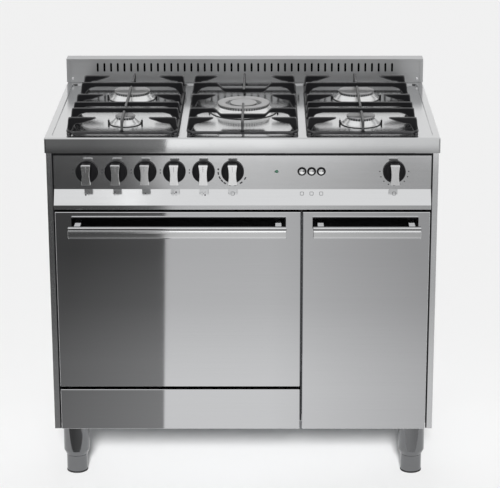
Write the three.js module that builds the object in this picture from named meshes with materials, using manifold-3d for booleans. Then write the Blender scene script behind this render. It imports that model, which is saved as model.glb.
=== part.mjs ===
// A free-standing range cooker with two ovens, in millimetres.
// X runs to the right, Y runs from the front to the wall, Z runs up from the floor.
// While the pieces are laid out, Y is zero at the front edge of the hob. The last lines
// move the whole cooker so that Y is zero at the middle of its depth.

import * as THREE from 'three';
import { mergeVertices } from 'three/addons/utils/BufferGeometryUtils.js';
import Module from 'manifold-3d';

const wasm = await Module();
wasm.setup();

// ---------------------------------------------------------------- driving dimensions

// Whole cooker
const COOKER_WIDTH = 900;
const HOB_DEPTH = 600;
const BODY_BOTTOM = 145;
const SHEET = 2;
const SEAT_GAP = 0.3;

// How many flat sides stand for a full circle
const LARGE_SIDES = 20;
const ROUND_SIDES = 14;
const SMALL_SIDES = 8;

// Hob plate
const FASCIA_HEIGHT = 36;
const HOB_RIM = 16;
const HOB_WELL_DROP = 3;
const HOB_REAR_BORDER = 55;
const HOB_CORNER = 4;
const HOB_EDGE = 2.5;
const WELL_CORNER = 12;

// Rear upstand and its vent slots
const UPSTAND_HEIGHT = 60;
const UPSTAND_DEPTH = 40;
const UPSTAND_SIDE_EDGE = 8;
const UPSTAND_TOP_EDGE = 4;
const UPSTAND_RECESS = 2;
const VENT_COUNT = 45;
const VENT_PITCH = 16.9;
const VENT_WIDTH = 5;
const VENT_HEIGHT = 24;
const VENT_BASE = 26;

// Side panels, rear cover and base plate
const SKIRT_CLEARANCE = 0.5;
const BODY_SETBACK = 12;
const SIDE_FLANGE = 16;
const REAR_SETBACK = 10;
const REAR_FLANGE = 14;
const BASE_FRONT = 56;
const BASE_LIP = 12;
const RUNNER_WIDTH = 14;
const LOUVRE_COUNT = 5;
const LOUVRE_PITCH = 16;
const LOUVRE_LENGTH = 150;
const LOUVRE_HEIGHT = 5;
const LOUVRE_BELOW_HOB = 300;
const LOUVRE_X = 170;
const GLAND_SIDE_INSET = 70;
const GLAND_BELOW_HOB = 160;
const GLAND_RADIUS = 12;
const GLAND_BORE = 5;
const REAR_FITTING = 10;

// Control panel
const PANEL_FLAT = 88;
const SLANT_OUT = 20;
const SLANT_DROP = 33;
const PANEL_LIP = 10;
const PANEL_SIDE_GAP = 0.5;

// Doors and drawer front
const DOOR_PROUD = 20;
const DOOR_TOP_GAP = 6;
const DOOR_SIDE_GAP = 2.5;
const MAIN_DOOR_WIDTH = 562;
const DOOR_MIDDLE_GAP = 5;
const FRONT_BOTTOM_GAP = 7;
const DRAWER_FRONT_HEIGHT = 100;
const FINGER_GAP = 7;
const HINGE_DEPTH = 25;
const HINGE_RISE = 28;
const DOOR_BOSS_DEPTH = 15;
const DOOR_BOTTOM_RETURN = 6;
const DOOR_CORNER = 2;
const BOSS_MARGIN = 16;
const BOSS_CORNER = 12;
const HINGE_INSET = 40;
const HINGE_EAR = 4;
const HINGE_EAR_RADIUS = 8;
const HINGE_PIN_RADIUS = 4;
const HINGE_SIDE_PLAY = 0.5;
const DRAWER_FRONT_RETURN = 7;

// Handles
const HANDLE_BELOW_TOP = 37;
const MAIN_HANDLE_INSET = 33;
const SMALL_HANDLE_INSET = 23;
const HANDLE_REACH = 34;
const HANDLE_THICK = 14;
const HANDLE_HEIGHT = 27;
const HANDLE_BULGE = 1.5;
const HANDLE_GROOVE = 2.5;
const HANDLE_LEDGE = 3;
const BRACKET_WIDTH = 16;
const BRACKET_HEIGHT = 15;
const BRACKET_INSET = 10;

// Ovens
const FRAME_BEHIND_HINGE = 24;
const MAIN_OVEN_WIDTH = 450;
const MAIN_OVEN_HEIGHT = 325;
const SMALL_OVEN_SIDE = 43;
const OVEN_DEPTH = 437;
const OVEN_ABOVE_HINGE = 33;
const DOOR_ABOVE_OVEN = 42;
const OVEN_CORNER = 14;
const LINER_FLANGE = 18;
const GASKET_WIDTH = 10;
const SHELF_RIB_DEPTH = 7;
const SHELF_RIB_HEIGHT = 9;
const SHELF_PITCH = 75;
const SHELF_INSET = 20;
const RACK_LEVEL = 1;
const RACK_ROD = 6;
const RACK_WIRE_RADIUS = 1.7;
const RACK_WIRE_PITCH = 40;
const RACK_SIDE_PLAY = 1.5;
const FAN_COVER_RADIUS = 100;
const FAN_COVER_DEPTH = 16;
const FAN_SLOTS = 8;
const FAN_SLOT_WIDTH = 9;
const FAN_SLOT_START = 32;
const FAN_SLOT_LENGTH = 42;
const ELEMENT_RADIUS = 3.5;
const ELEMENT_BELOW_ROOF = 22;
const ELEMENT_BEND = 12;
const ELEMENT_LEG_SPREAD = 24;

// Storage drawer
const DRAWER_SIDE_GAP = 17;
const DRAWER_WALL_HEIGHT = 72;
const DRAWER_DEPTH = 470;
const DRAWER_FLOOR_RISE = 15;

// Knobs, buttons and lamp
const KNOB_RISE = 42;
const FIRST_KNOB_INSET = 95;
const KNOB_PITCH = 66.5;
const KNOB_ROW = 6;
const LAST_KNOB_INSET = 103.5;
const KNOB_DISC_RADIUS = 26;
const KNOB_DISC_THICK = 8;
const KNOB_GRIP_WIDTH = 22;
const KNOB_GRIP_WAIST = 2.5;
const KNOB_GRIP_HEIGHT = 46;
const KNOB_GRIP_REACH = 27;
const KNOB_SHAFT_RADIUS = 4;
const KNOB_SHAFT_LENGTH = 18;
const KNOB_LIFT = 0.6;
const KNOB_CHAMFER = 2;
const KNOB_GRIP_BEVEL = 1.5;
const POINTER_WIDTH = 2;
const POINTER_PROUD = 0.8;
const SHAFT_CLEARANCE = 0.5;
const VALVE_SIZE = 26;
const VALVE_DEPTH = 32;
const RAIL_RADIUS = 8;
const RAIL_DROP = 20;
const RAIL_SIDE_INSET = 38;
const RAIL_BEND = 30;
const INLET_RADIUS = 10.5;
const BUTTONS_AFTER_KNOBS = 180.3;
const BUTTON_PITCH = 22;
const BUTTON_RADIUS = 6.5;
const BUTTON_RING_RADIUS = 9.7;
const BUTTON_RING_WALL = 2.8;
const BUTTON_PROUD = 3.5;
const BUTTON_LENGTH = 16;
const BUTTON_EDGE = 1;
const BUTTON_COLLAR = 2;
const BEZEL_PROUD = 1;
const BEZEL_BACK = 4;
const LAMP_AFTER_KNOBS = 100.5;
const LAMP_RADIUS = 4;
const LAMP_COLLAR = 6.5;
const LAMP_BACK = 8;
const LAMP_DOME = 2.2;

// Legs and feet
const LEG_SIDE_INSET = 44;
const FRONT_LEG_Y = 103;
const REAR_LEG_SETBACK = 70;
const LEG_RADIUS = 23;
const LEG_FLANGE_RADIUS = 34;
const LEG_FLANGE_THICK = 3;
const LEG_TAPER = 6;
const FOOT_HEIGHT = 44;
const FOOT_RADIUS = 20.5;
const FOOT_STEM_RADIUS = 16.5;
const FOOT_STEM_LENGTH = 80;
const FOOT_PAD_RADIUS = 21;
const FOOT_PAD_THICK = 3;
const STEM_CLEARANCE = 0.5;

// Burners
const FRONT_BURNER_Y = 145;
const REAR_BURNER_Y = 400;
const WOK_BURNER_Y = 262;
const AUXILIARY_CAP_RADIUS = 24;
const SEMI_CAP_RADIUS = 34;
const RAPID_CAP_RADIUS = 44;
const WOK_CAP_RADIUS = 62;
const CROWN_SPREAD = 12;
const CROWN_HEIGHT = 17;
const CROWN_WALL = 4;
const CROWN_LIP = 1.5;
const CAP_OVERHANG = 1;
const CAP_THICK = 3.8;
const CAP_RIM = 2.3;
const CAP_CHAMFER = 1.5;
const CAP_DOME = 0.6;
const CAP_SPIGOT = 3.5;
const BURNER_CUP_RADIUS = 16;
const BURNER_CUP_DEPTH = 28;
const BURNER_CUP_FLOOR = 3;
const BURNER_CUP_CLEARANCE = 1;
const BURNER_THROAT = 10;
const PORT_WIDTH = 2.2;
const PORT_DEPTH = 3;
const PORT_ARC = 30;
const POST_RADIUS = 2.2;
const POST_HEIGHT = 13;
const EAR_WIDTH = 8;
const WOK_CROWN_HEIGHT = 20;
const WOK_SPREAD = 16;
const WOK_RING_WIDTH = 20;
const WOK_RING_SLOPE = 4;
const WOK_INNER_CAP_RADIUS = 32;

// Pan grates
const GRATE_SIDE_MARGIN = 47;
const GRATE_GAP = 17.5;
const GRATE_FRONT = 20;
const GRATE_BEHIND = 33;
const GRATE_RAIL_WIDTH = 8;
const GRATE_RAIL_HEIGHT = 6.5;
const GRATE_RAIL_LIFT = 6;
const GRATE_CORNER = 20;
const GRATE_FOOT_INSET = 8.4;
const GRATE_TOP = 36;
const BAR_THICK = 6;
const BAR_DEPTH = 12;
const BAR_SLANT = 4;
const GUSSET_REACH = 34;
const GUSSET_WIDTH = 12;
const FINGER_ROOT_DEPTH = 15;
const FINGER_TIP_DEPTH = 4;
const FINGER_TIP = 60;
const WOK_FINGER_TIP = 66;
const SHORT_ROWS = [52, 281, 483];
const SIDE_BAR_ROWS = [142, 202, 406];
const WOK_BAR_ROWS = [142, 406];
const WOK_BAR_DIP = 14;
const WOK_DIP_HALF_WIDTH = 52;
const FRONT_SPINE_SHORT = 29;
const REAR_SPINE_SHORT = 23;
const MIDDLE_SPINE_SHORT = 32;
const MIDDLE_SPINE_FRONT = 34;
const WOK_FRONT_SPINE_SHORT = 5;
const WOK_REAR_SPINE_SHORT = 17;

// ---------------------------------------------------------------- derived places

const sideOuter = COOKER_WIDTH / 2 - SHEET - SKIRT_CLEARANCE;
const sideInner = sideOuter - SHEET;
const flangeInner = sideOuter - SIDE_FLANGE;
const bodyInner = sideInner - SEAT_GAP;
const bodyBack = HOB_DEPTH - REAR_SETBACK;
const frontBottom = BODY_BOTTOM + FRONT_BOTTOM_GAP;
const drawerTop = frontBottom + DRAWER_FRONT_HEIGHT;
const mainDoor = {
  left: -(flangeInner - DOOR_SIDE_GAP),
  right: -(flangeInner - DOOR_SIDE_GAP) + MAIN_DOOR_WIDTH,
  bottom: drawerTop + FINGER_GAP,
};
const smallDoor = {
  left: mainDoor.right + DOOR_MIDDLE_GAP,
  right: flangeInner - DOOR_SIDE_GAP,
  bottom: frontBottom,
};
const ovenRoof = mainDoor.bottom + HINGE_RISE + OVEN_ABOVE_HINGE + MAIN_OVEN_HEIGHT;
const mainOven = ovenSpace(mainDoor, MAIN_OVEN_WIDTH);
const smallOven = ovenSpace(smallDoor, smallDoor.right - smallDoor.left - 2 * SMALL_OVEN_SIDE);
const doorTop = ovenRoof + DOOR_ABOVE_OVEN;
const panelLipBottom = doorTop + DOOR_TOP_GAP;
const panelLipTop = panelLipBottom + PANEL_LIP;
const panelFlatBottom = panelLipTop + SLANT_DROP;
const fasciaBottom = panelFlatBottom + PANEL_FLAT;
const hobTop = fasciaBottom + FASCIA_HEIGHT;
const hobUnderside = hobTop - SHEET;
const wellTop = hobTop - HOB_WELL_DROP;
const wellBack = HOB_DEPTH - HOB_REAR_BORDER;
const panelFace = BODY_SETBACK;
const panelBack = panelFace + SHEET;
const doorFace = BODY_SETBACK - DOOR_PROUD;
const hingeY = doorFace + HINGE_DEPTH;
const bossFace = hingeY + DOOR_BOSS_DEPTH;
const frameFace = hingeY + FRAME_BEHIND_HINGE;
const frameBack = frameFace + SHEET;
const baseTop = BODY_BOTTOM + SHEET;
const drawerFloor = frontBottom + DRAWER_FLOOR_RISE;
const rearCoverBack = bodyBack - SHEET - SEAT_GAP;
const rearCoverFace = rearCoverBack - SHEET;
const glandX = -(COOKER_WIDTH / 2 - GLAND_SIDE_INSET);
const glandZ = hobTop - GLAND_BELOW_HOB;
const knobZ = panelFlatBottom + KNOB_RISE;
const railX = COOKER_WIDTH / 2 - RAIL_SIDE_INSET;
const railZ = knobZ - RAIL_DROP;
const railY = panelBack + SEAT_GAP + VALVE_DEPTH / 2;
const firstKnobX = -(COOKER_WIDTH / 2 - FIRST_KNOB_INSET);
const rowEndX = firstKnobX + (KNOB_ROW - 1) * KNOB_PITCH;
const knobPlaces = Array.from({ length: KNOB_ROW }, (_, i) => firstKnobX + i * KNOB_PITCH);
knobPlaces.push(COOKER_WIDTH / 2 - LAST_KNOB_INSET);
const lampX = rowEndX + LAMP_AFTER_KNOBS;
const buttonPlaces = [-1, 0, 1].map((step) => rowEndX + BUTTONS_AFTER_KNOBS + step * BUTTON_PITCH);
const legX = COOKER_WIDTH / 2 - LEG_SIDE_INSET;
const rearLegY = bodyBack - REAR_LEG_SETBACK;
const grateWidth = (COOKER_WIDTH - 2 * GRATE_SIDE_MARGIN - 2 * GRATE_GAP) / 3;
const gratePitch = grateWidth + GRATE_GAP;
const grateBack = wellBack - GRATE_BEHIND;

/** The inside of one oven, centred behind its door. */
function ovenSpace(door, width) {
  const middle = (door.left + door.right) / 2;
  return {
    middle,
    left: middle - width / 2,
    right: middle + width / 2,
    floor: door.bottom + HINGE_RISE + OVEN_ABOVE_HINGE,
    roof: ovenRoof,
  };
}

// ---------------------------------------------------------------- solids and shapes

/** Turns a closed geometry into a solid that can be joined and cut. */
function solidOf(geometry) {
  const bare = geometry.clone();
  bare.deleteAttribute('normal');
  bare.deleteAttribute('uv');
  const merged = mergeVertices(bare, 1e-4);
  const places = new Float32Array(merged.attributes.position.array);
  const corners = new Uint32Array(merged.index.array);
  if (signedVolume(places, corners) < 0) {
    for (let i = 0; i < corners.length; i += 3) {
      [corners[i], corners[i + 1]] = [corners[i + 1], corners[i]];
    }
  }
  return new wasm.Manifold(new wasm.Mesh({ numProp: 3, vertProperties: places, triVerts: corners }));
}

/** The volume that a triangle mesh encloses, negative when its faces point inwards. */
function signedVolume(places, corners) {
  const [a, b, c] = [new THREE.Vector3(), new THREE.Vector3(), new THREE.Vector3()];
  let sum = 0;
  for (let i = 0; i < corners.length; i += 3) {
    a.fromArray(places, 3 * corners[i]);
    b.fromArray(places, 3 * corners[i + 1]);
    c.fromArray(places, 3 * corners[i + 2]);
    sum += a.dot(b.cross(c));
  }
  return sum;
}

/** Turns a finished solid back into a geometry. */
function geometryOf(solid) {
  const mesh = solid.getMesh();
  const geometry = new THREE.BufferGeometry();
  geometry.setAttribute('position', new THREE.BufferAttribute(new Float32Array(mesh.vertProperties), 3));
  geometry.setIndex(new THREE.BufferAttribute(new Uint32Array(mesh.triVerts), 1));
  geometry.computeVertexNormals();
  return geometry;
}

/** Joins a list of solids into one. */
function join(solids) {
  return solids.reduce((sum, next) => sum.add(next));
}

/** Cuts a list of solids out of one. */
function cut(solid, cutters) {
  return cutters.reduce((rest, next) => rest.subtract(next), solid);
}

/** A block between two corners. */
function block(x0, x1, y0, y1, z0, z1) {
  const geometry = new THREE.BoxGeometry(x1 - x0, y1 - y0, z1 - z0);
  geometry.translate((x0 + x1) / 2, (y0 + y1) / 2, (z0 + z1) / 2);
  return solidOf(geometry);
}

/** Extrudes a shape between two depths, with its rim bevelled by `bevel`. */
function extruded(shape, from, to, { bevel = 0, smooth = 2 } = {}) {
  const geometry = new THREE.ExtrudeGeometry(shape, {
    depth: to - from - 2 * bevel,
    bevelEnabled: bevel > 0,
    bevelSize: bevel,
    bevelThickness: bevel,
    bevelOffset: -bevel,
    bevelSegments: 1,
    curveSegments: smooth,
  });
  geometry.translate(0, 0, from + bevel);
  return geometry;
}

/** A shape drawn in plan (x, y), extruded upwards. */
function risen(shape, z0, z1, options) {
  return solidOf(extruded(shape, z0, z1, options));
}

/** A shape drawn from the front (x, z), extruded from front to back. */
function deepened(shape, y0, y1, options) {
  const geometry = extruded(shape, -y1, -y0, options);
  geometry.rotateX(Math.PI / 2);
  return solidOf(geometry);
}

/** A shape drawn from the side (y, z), extruded from left to right. */
function widened(shape, x0, x1, options) {
  const geometry = extruded(shape, x0, x1, options);
  const turn = new THREE.Matrix4().makeBasis(
    new THREE.Vector3(0, 1, 0), new THREE.Vector3(0, 0, 1), new THREE.Vector3(1, 0, 0));
  geometry.applyMatrix4(turn);
  return solidOf(geometry);
}

/** Spins a profile of (radius, height) points about the Z axis. */
function spun(profile, sides = ROUND_SIDES) {
  const points = profile.map(([radius, height]) => new THREE.Vector2(radius, height));
  const geometry = new THREE.LatheGeometry(points, sides);
  geometry.rotateX(Math.PI / 2);
  return solidOf(geometry);
}

/** Spins a profile of (radius, distance behind the panel face) points about the Y axis. */
function spunFromFront(profile, sides = ROUND_SIDES) {
  const points = profile.map(([radius, depth]) => new THREE.Vector2(radius, depth));
  return solidOf(new THREE.LatheGeometry(points, sides));
}

/** A cylinder along X, Y or Z between two places on that axis. */
function rod(axis, centre, from, to, radius, sides = ROUND_SIDES) {
  const geometry = new THREE.CylinderGeometry(radius, radius, to - from, sides);
  geometry.translate(0, (from + to) / 2, 0);
  if (axis === 'x') geometry.rotateZ(-Math.PI / 2);
  if (axis === 'z') geometry.rotateX(Math.PI / 2);
  const [first, second] = centre;
  const shift = { x: [0, first, second], y: [first, 0, second], z: [first, second, 0] }[axis];
  geometry.translate(...shift);
  return solidOf(geometry);
}

/** A rectangle with rounded corners. */
function rounded(x0, x1, y0, y1, radius) {
  const shape = new THREE.Shape();
  shape.moveTo(x0 + radius, y0);
  shape.lineTo(x1 - radius, y0);
  shape.quadraticCurveTo(x1, y0, x1, y0 + radius);
  shape.lineTo(x1, y1 - radius);
  shape.quadraticCurveTo(x1, y1, x1 - radius, y1);
  shape.lineTo(x0 + radius, y1);
  shape.quadraticCurveTo(x0, y1, x0, y1 - radius);
  shape.lineTo(x0, y0 + radius);
  shape.quadraticCurveTo(x0, y0, x0 + radius, y0);
  return shape;
}

/** A polygon through the given points. */
function outline(points) {
  return new THREE.Shape(points.map(([x, y]) => new THREE.Vector2(x, y)));
}

/** A regular many-sided circle. */
function circle(x, y, radius, sides = ROUND_SIDES) {
  const turn = (2 * Math.PI) / sides;
  return outline(Array.from({ length: sides }, (_, i) => [
    x + radius * Math.cos(i * turn), y + radius * Math.sin(i * turn)]));
}

/** An upright slot with round ends, `length` tall overall. */
function uprightSlot(x, bottom, width, length) {
  const radius = width / 2;
  const steps = 2;
  const low = [];
  const high = [];
  for (let i = 0; i <= steps; i += 1) {
    const angle = (Math.PI * i) / steps;
    low.push([x - radius * Math.cos(angle), bottom + radius - radius * Math.sin(angle)]);
    high.push([x + radius * Math.cos(angle), bottom + length - radius + radius * Math.sin(angle)]);
  }
  return outline([...low, ...high]);
}

/** The band of a given width that follows a path of points, as a shape. */
function band(path, width) {
  const left = [];
  const right = [];
  path.forEach((point, i) => {
    const before = path[Math.max(i - 1, 0)];
    const after = path[Math.min(i + 1, path.length - 1)];
    const inward = new THREE.Vector2().subVectors(point, before).normalize();
    const outward = new THREE.Vector2().subVectors(after, point).normalize();
    const along = inward.clone().add(outward).normalize();
    const stretch = Math.max(along.dot(i === 0 ? outward : inward), 0.5);
    const side = new THREE.Vector2(-along.y, along.x).multiplyScalar(width / 2 / stretch);
    left.push(point.clone().add(side));
    right.unshift(point.clone().sub(side));
  });
  return new THREE.Shape([...left, ...right]);
}

/** A path of points whose corners are rounded by a bend radius. */
function roundedPath(corners, bend, steps = 4) {
  const points = corners.map(([x, y]) => new THREE.Vector2(x, y));
  const path = [points[0]];
  for (let i = 1; i < points.length - 1; i += 1) {
    const back = new THREE.Vector2().subVectors(points[i - 1], points[i]).normalize();
    const ahead = new THREE.Vector2().subVectors(points[i + 1], points[i]).normalize();
    const curve = new THREE.QuadraticBezierCurve(
      points[i].clone().addScaledVector(back, bend), points[i],
      points[i].clone().addScaledVector(ahead, bend));
    path.push(...curve.getPoints(steps));
  }
  path.push(points[points.length - 1]);
  return path;
}

// ---------------------------------------------------------------- materials

/** One finish of the cooker as a standard material. */
function finish(color, roughness, metalness) {
  return new THREE.MeshStandardMaterial({ color, roughness, metalness });
}

const polishedSteel = () => finish(0xc4c5c7, 0.18, 1);
const brushedSteel = () => finish(0xb6b7b9, 0.36, 1);
const galvanised = () => finish(0x8f9396, 0.5, 1);
const greyEnamel = () => finish(0x34373a, 0.3, 0.1);
const castIron = () => finish(0x1b1b1c, 0.55, 0.2);
const castAluminium = () => finish(0xb9bbbd, 0.38, 1);
const satinMetal = () => finish(0xa9aaac, 0.3, 1);
const blackPlastic = () => finish(0x141414, 0.42, 0);
const blackRubber = () => finish(0x1d1d1d, 0.85, 0);
const brassPlated = () => finish(0xb39a55, 0.35, 1);
const greenLens = () => finish(0x1f4a33, 0.2, 0);
const chromeWire = () => finish(0xc9cbce, 0.16, 1);
const elementSteel = () => finish(0x4a4742, 0.5, 0.8);

// ---------------------------------------------------------------- hob and upstand

/** Where each burner stands, and how large its cap is. */
const burnerPlaces = [
  { name: 'front_left', x: -gratePitch, y: FRONT_BURNER_Y, capRadius: AUXILIARY_CAP_RADIUS },
  { name: 'rear_left', x: -gratePitch, y: REAR_BURNER_Y, capRadius: RAPID_CAP_RADIUS },
  { name: 'front_right', x: gratePitch, y: FRONT_BURNER_Y, capRadius: SEMI_CAP_RADIUS },
  { name: 'rear_right', x: gratePitch, y: REAR_BURNER_Y, capRadius: RAPID_CAP_RADIUS },
];
const wokPlace = { name: 'wok', x: 0, y: WOK_BURNER_Y };

/** The pressed hob: a tray with a raised rim, a sunk well and a hole for each burner. */
function hobPlate() {
  const half = COOKER_WIDTH / 2;
  const slab = risen(rounded(-half, half, 0, HOB_DEPTH, HOB_CORNER),
    fasciaBottom - HOB_EDGE, hobTop, { bevel: HOB_EDGE });
  const skirtEnd = block(-half, half, 0, HOB_DEPTH, fasciaBottom - HOB_EDGE, fasciaBottom);
  const hollow = block(-half + SHEET, half - SHEET, SHEET, HOB_DEPTH - SHEET,
    fasciaBottom - SHEET, hobUnderside);
  const wellSheet = risen(rounded(-half + HOB_RIM - SHEET, half - HOB_RIM + SHEET,
    HOB_RIM - SHEET, wellBack + SHEET, WELL_CORNER), wellTop - SHEET, hobTop);
  const well = risen(rounded(-half + HOB_RIM, half - HOB_RIM, HOB_RIM, wellBack, WELL_CORNER),
    wellTop, hobTop + SHEET);
  const holes = [...burnerPlaces, wokPlace].map(({ x, y }) =>
    rod('z', [x, y], wellTop - 2 * SHEET, hobTop, BURNER_CUP_RADIUS + BURNER_CUP_CLEARANCE));
  return cut(slab, [skirtEnd, hollow.subtract(wellSheet), well, ...holes]);
}

/** The vented upstand along the wall side of the hob. */
function rearUpstand() {
  const half = COOKER_WIDTH / 2;
  const bottom = hobTop + SEAT_GAP;
  const top = hobTop + UPSTAND_HEIGHT;
  const front = HOB_DEPTH - UPSTAND_DEPTH;
  const wallFace = front + UPSTAND_RECESS;
  const body = block(-half, half, front, HOB_DEPTH, bottom, top);
  const recess = block(-half + UPSTAND_SIDE_EDGE, half - UPSTAND_SIDE_EDGE, front - SHEET, wallFace,
    bottom - SHEET, top - UPSTAND_TOP_EDGE);
  const hollow = block(-half + SHEET, half - SHEET, wallFace + SHEET, HOB_DEPTH - SHEET,
    bottom - SHEET, top - SHEET);
  const vents = Array.from({ length: VENT_COUNT }, (_, i) => {
    const x = (i - (VENT_COUNT - 1) / 2) * VENT_PITCH;
    return deepened(uprightSlot(x, hobTop + VENT_BASE, VENT_WIDTH, VENT_HEIGHT),
      front - SHEET, wallFace + 2 * SHEET);
  });
  return cut(body, [recess, hollow, join(vents)]);
}

// ---------------------------------------------------------------- casing

/** One side panel, folded inwards at the front and at the back. */
function sidePanel(side) {
  const plan = outline([
    [sideOuter, BODY_SETBACK], [sideOuter, bodyBack],
    [sideOuter - REAR_FLANGE, bodyBack], [sideOuter - REAR_FLANGE, bodyBack - SHEET],
    [sideInner, bodyBack - SHEET], [sideInner, BODY_SETBACK + SHEET],
    [flangeInner, BODY_SETBACK + SHEET], [flangeInner, BODY_SETBACK],
  ].map(([x, y]) => [side * x, y]));
  return risen(plan, BODY_BOTTOM, hobUnderside - SEAT_GAP);
}

/** The rear cover with its louvres, the hole for the gas inlet and the cable gland. */
function rearCover() {
  const gland = rod('y', [glandX, glandZ], rearCoverFace, rearCoverBack + REAR_FITTING, GLAND_RADIUS);
  const glandBore = rod('y', [glandX, glandZ], rearCoverFace - SHEET,
    rearCoverBack + REAR_FITTING + SHEET, GLAND_BORE);
  const inletHole = rod('y', [railX, railZ], rearCoverFace - SHEET, rearCoverBack + SHEET,
    RAIL_RADIUS + SHAFT_CLEARANCE);
  const plate = block(-bodyInner, bodyInner, rearCoverFace, rearCoverBack,
    baseTop + SEAT_GAP, hobUnderside - SEAT_GAP);
  const louvres = [];
  for (const x of [-LOUVRE_X, LOUVRE_X]) {
    for (let i = 0; i < LOUVRE_COUNT; i += 1) {
      const z = hobTop - LOUVRE_BELOW_HOB + i * LOUVRE_PITCH;
      louvres.push(block(x - LOUVRE_LENGTH / 2, x + LOUVRE_LENGTH / 2,
        rearCoverFace - SHEET, rearCoverBack + SHEET, z, z + LOUVRE_HEIGHT));
    }
  }
  return cut(plate.add(gland), [glandBore, inletHole, ...louvres]);
}

/** The base plate with folded lips, the two drawer runners and the drawer's side wall. */
function basePlate() {
  const back = rearCoverFace - SEAT_GAP;
  const floor = block(-bodyInner, bodyInner, BASE_FRONT, back, BODY_BOTTOM, baseTop);
  const lips = [
    block(-bodyInner, bodyInner, back - SHEET, back, BODY_BOTTOM, baseTop + BASE_LIP),
    block(-bodyInner, -bodyInner + SHEET, BASE_FRONT, back, BODY_BOTTOM, baseTop + BASE_LIP),
    block(bodyInner - SHEET, bodyInner, BASE_FRONT, back, BODY_BOTTOM, baseTop + BASE_LIP),
  ];
  const drawer = drawerSides();
  const runnerTop = drawerFloor - SEAT_GAP;
  const runners = [
    block(drawer.left, drawer.left + RUNNER_WIDTH, BASE_FRONT, back, BODY_BOTTOM, runnerTop),
    block(drawer.right - RUNNER_WIDTH, drawer.right, BASE_FRONT, back, BODY_BOTTOM, runnerTop),
  ];
  const wall = block(smallDoor.left, smallDoor.left + SHEET, BASE_FRONT, back,
    BODY_BOTTOM, mainDoor.bottom);
  return join([floor, ...lips, ...runners, wall]);
}

/** The frame behind the doors, with both oven mouths and the ears that hold the hinge pins. */
function frontFrame() {
  const stripRoom = 10;
  const postWidth = 12;
  const underMain = mainDoor.bottom + HINGE_RISE - stripRoom;
  const underSmall = smallDoor.bottom + HINGE_RISE - stripRoom;
  const split = (mainDoor.right + smallDoor.left) / 2;
  const postInner = bodyInner - postWidth;
  const low = baseTop + SEAT_GAP;
  const plate = deepened(outline([
    [-bodyInner, low], [-postInner, low], [-postInner, underMain], [split, underMain],
    [split, underSmall], [postInner, underSmall], [postInner, low], [bodyInner, low],
    [bodyInner, panelFlatBottom], [-bodyInner, panelFlatBottom],
  ]), frameFace, frameBack);
  const mouths = [mainOven, smallOven].map((oven) => deepened(
    rounded(oven.left, oven.right, oven.floor, oven.roof, OVEN_CORNER),
    frameFace - SHEET, frameBack + SHEET));
  const ears = [mainDoor, smallDoor].flatMap((door) =>
    hingePlaces(door).map(({ x }) => hingeEar(door, x)));
  return cut(plate, mouths).add(join(ears));
}

/** The middles of a door's two hinge ears, and the side on which each pin's lug stands. */
function hingePlaces(door) {
  return [
    { x: door.left + HINGE_INSET, outward: -1 },
    { x: door.right - HINGE_INSET, outward: 1 },
  ];
}

/** One ear of the frame, with the bore that a door's hinge pin turns in. */
function hingeEar(door, x) {
  const z = door.bottom + HINGE_RISE;
  const radius = HINGE_EAR_RADIUS;
  const arm = block(x - HINGE_EAR / 2, x + HINGE_EAR / 2, hingeY, frameFace + SHEET / 2,
    z - radius, z + radius);
  const eye = rod('x', [hingeY, z], x - HINGE_EAR / 2, x + HINGE_EAR / 2, radius, SMALL_SIDES);
  const bore = rod('x', [hingeY, z], x - HINGE_EAR, x + HINGE_EAR, HINGE_PIN_RADIUS + SHAFT_CLEARANCE,
    SMALL_SIDES);
  return arm.add(eye).subtract(bore);
}

/** The control panel: a flat face, a strip slanting forwards, a lip and a fold to the frame. */
function controlPanel() {
  const top = hobUnderside - SEAT_GAP;
  const lipFace = panelFace - SLANT_OUT;
  const foldEnd = frameFace - SEAT_GAP;
  const profile = outline([
    [panelFace, top], [panelFace, panelFlatBottom], [lipFace, panelLipTop],
    [lipFace, panelLipBottom], [foldEnd, panelLipBottom], [foldEnd, panelLipBottom + SHEET],
    [lipFace + SHEET, panelLipBottom + SHEET], [lipFace + SHEET, panelLipTop - SHEET / 4],
    [panelBack, panelFlatBottom - SHEET / 4], [panelBack, top],
  ]);
  const half = flangeInner - PANEL_SIDE_GAP;
  const holes = [
    ...knobPlaces.map((x) => rod('y', [x, knobZ], panelFace - SHEET, panelBack + SHEET,
      KNOB_SHAFT_RADIUS + SHAFT_CLEARANCE, SMALL_SIDES)),
    ...buttonPlaces.map((x) => rod('y', [x, knobZ], panelFace - SHEET, panelBack + SHEET,
      BUTTON_RING_RADIUS + SHAFT_CLEARANCE)),
    rod('y', [lampX, knobZ], panelFace - SHEET, panelBack + SHEET, LAMP_RADIUS + SHAFT_CLEARANCE,
      SMALL_SIDES),
  ];
  return cut(widened(profile, -half, half), holes);
}

// ---------------------------------------------------------------- ovens

/** An oven's liner: a box open at the front, with a flange and pressed shelf ribs. */
function ovenLiner(oven) {
  const front = frameBack + SEAT_GAP;
  const back = front + OVEN_DEPTH;
  const shell = deepened(rounded(oven.left - SHEET, oven.right + SHEET, oven.floor - SHEET,
    oven.roof + SHEET, OVEN_CORNER + SHEET), front, back + SHEET);
  const flange = deepened(rounded(oven.left - LINER_FLANGE, oven.right + LINER_FLANGE,
    oven.floor - LINER_FLANGE, oven.roof + LINER_FLANGE, LINER_FLANGE), front, front + SHEET);
  const hollow = deepened(rounded(oven.left, oven.right, oven.floor, oven.roof, OVEN_CORNER),
    front - SHEET, back);
  const ribs = shelfLevels(oven).flatMap((z) => [
    shelfRib(oven.left, 1, z), shelfRib(oven.right, -1, z),
  ]);
  return shell.add(flange).subtract(hollow).add(join(ribs));
}

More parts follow.
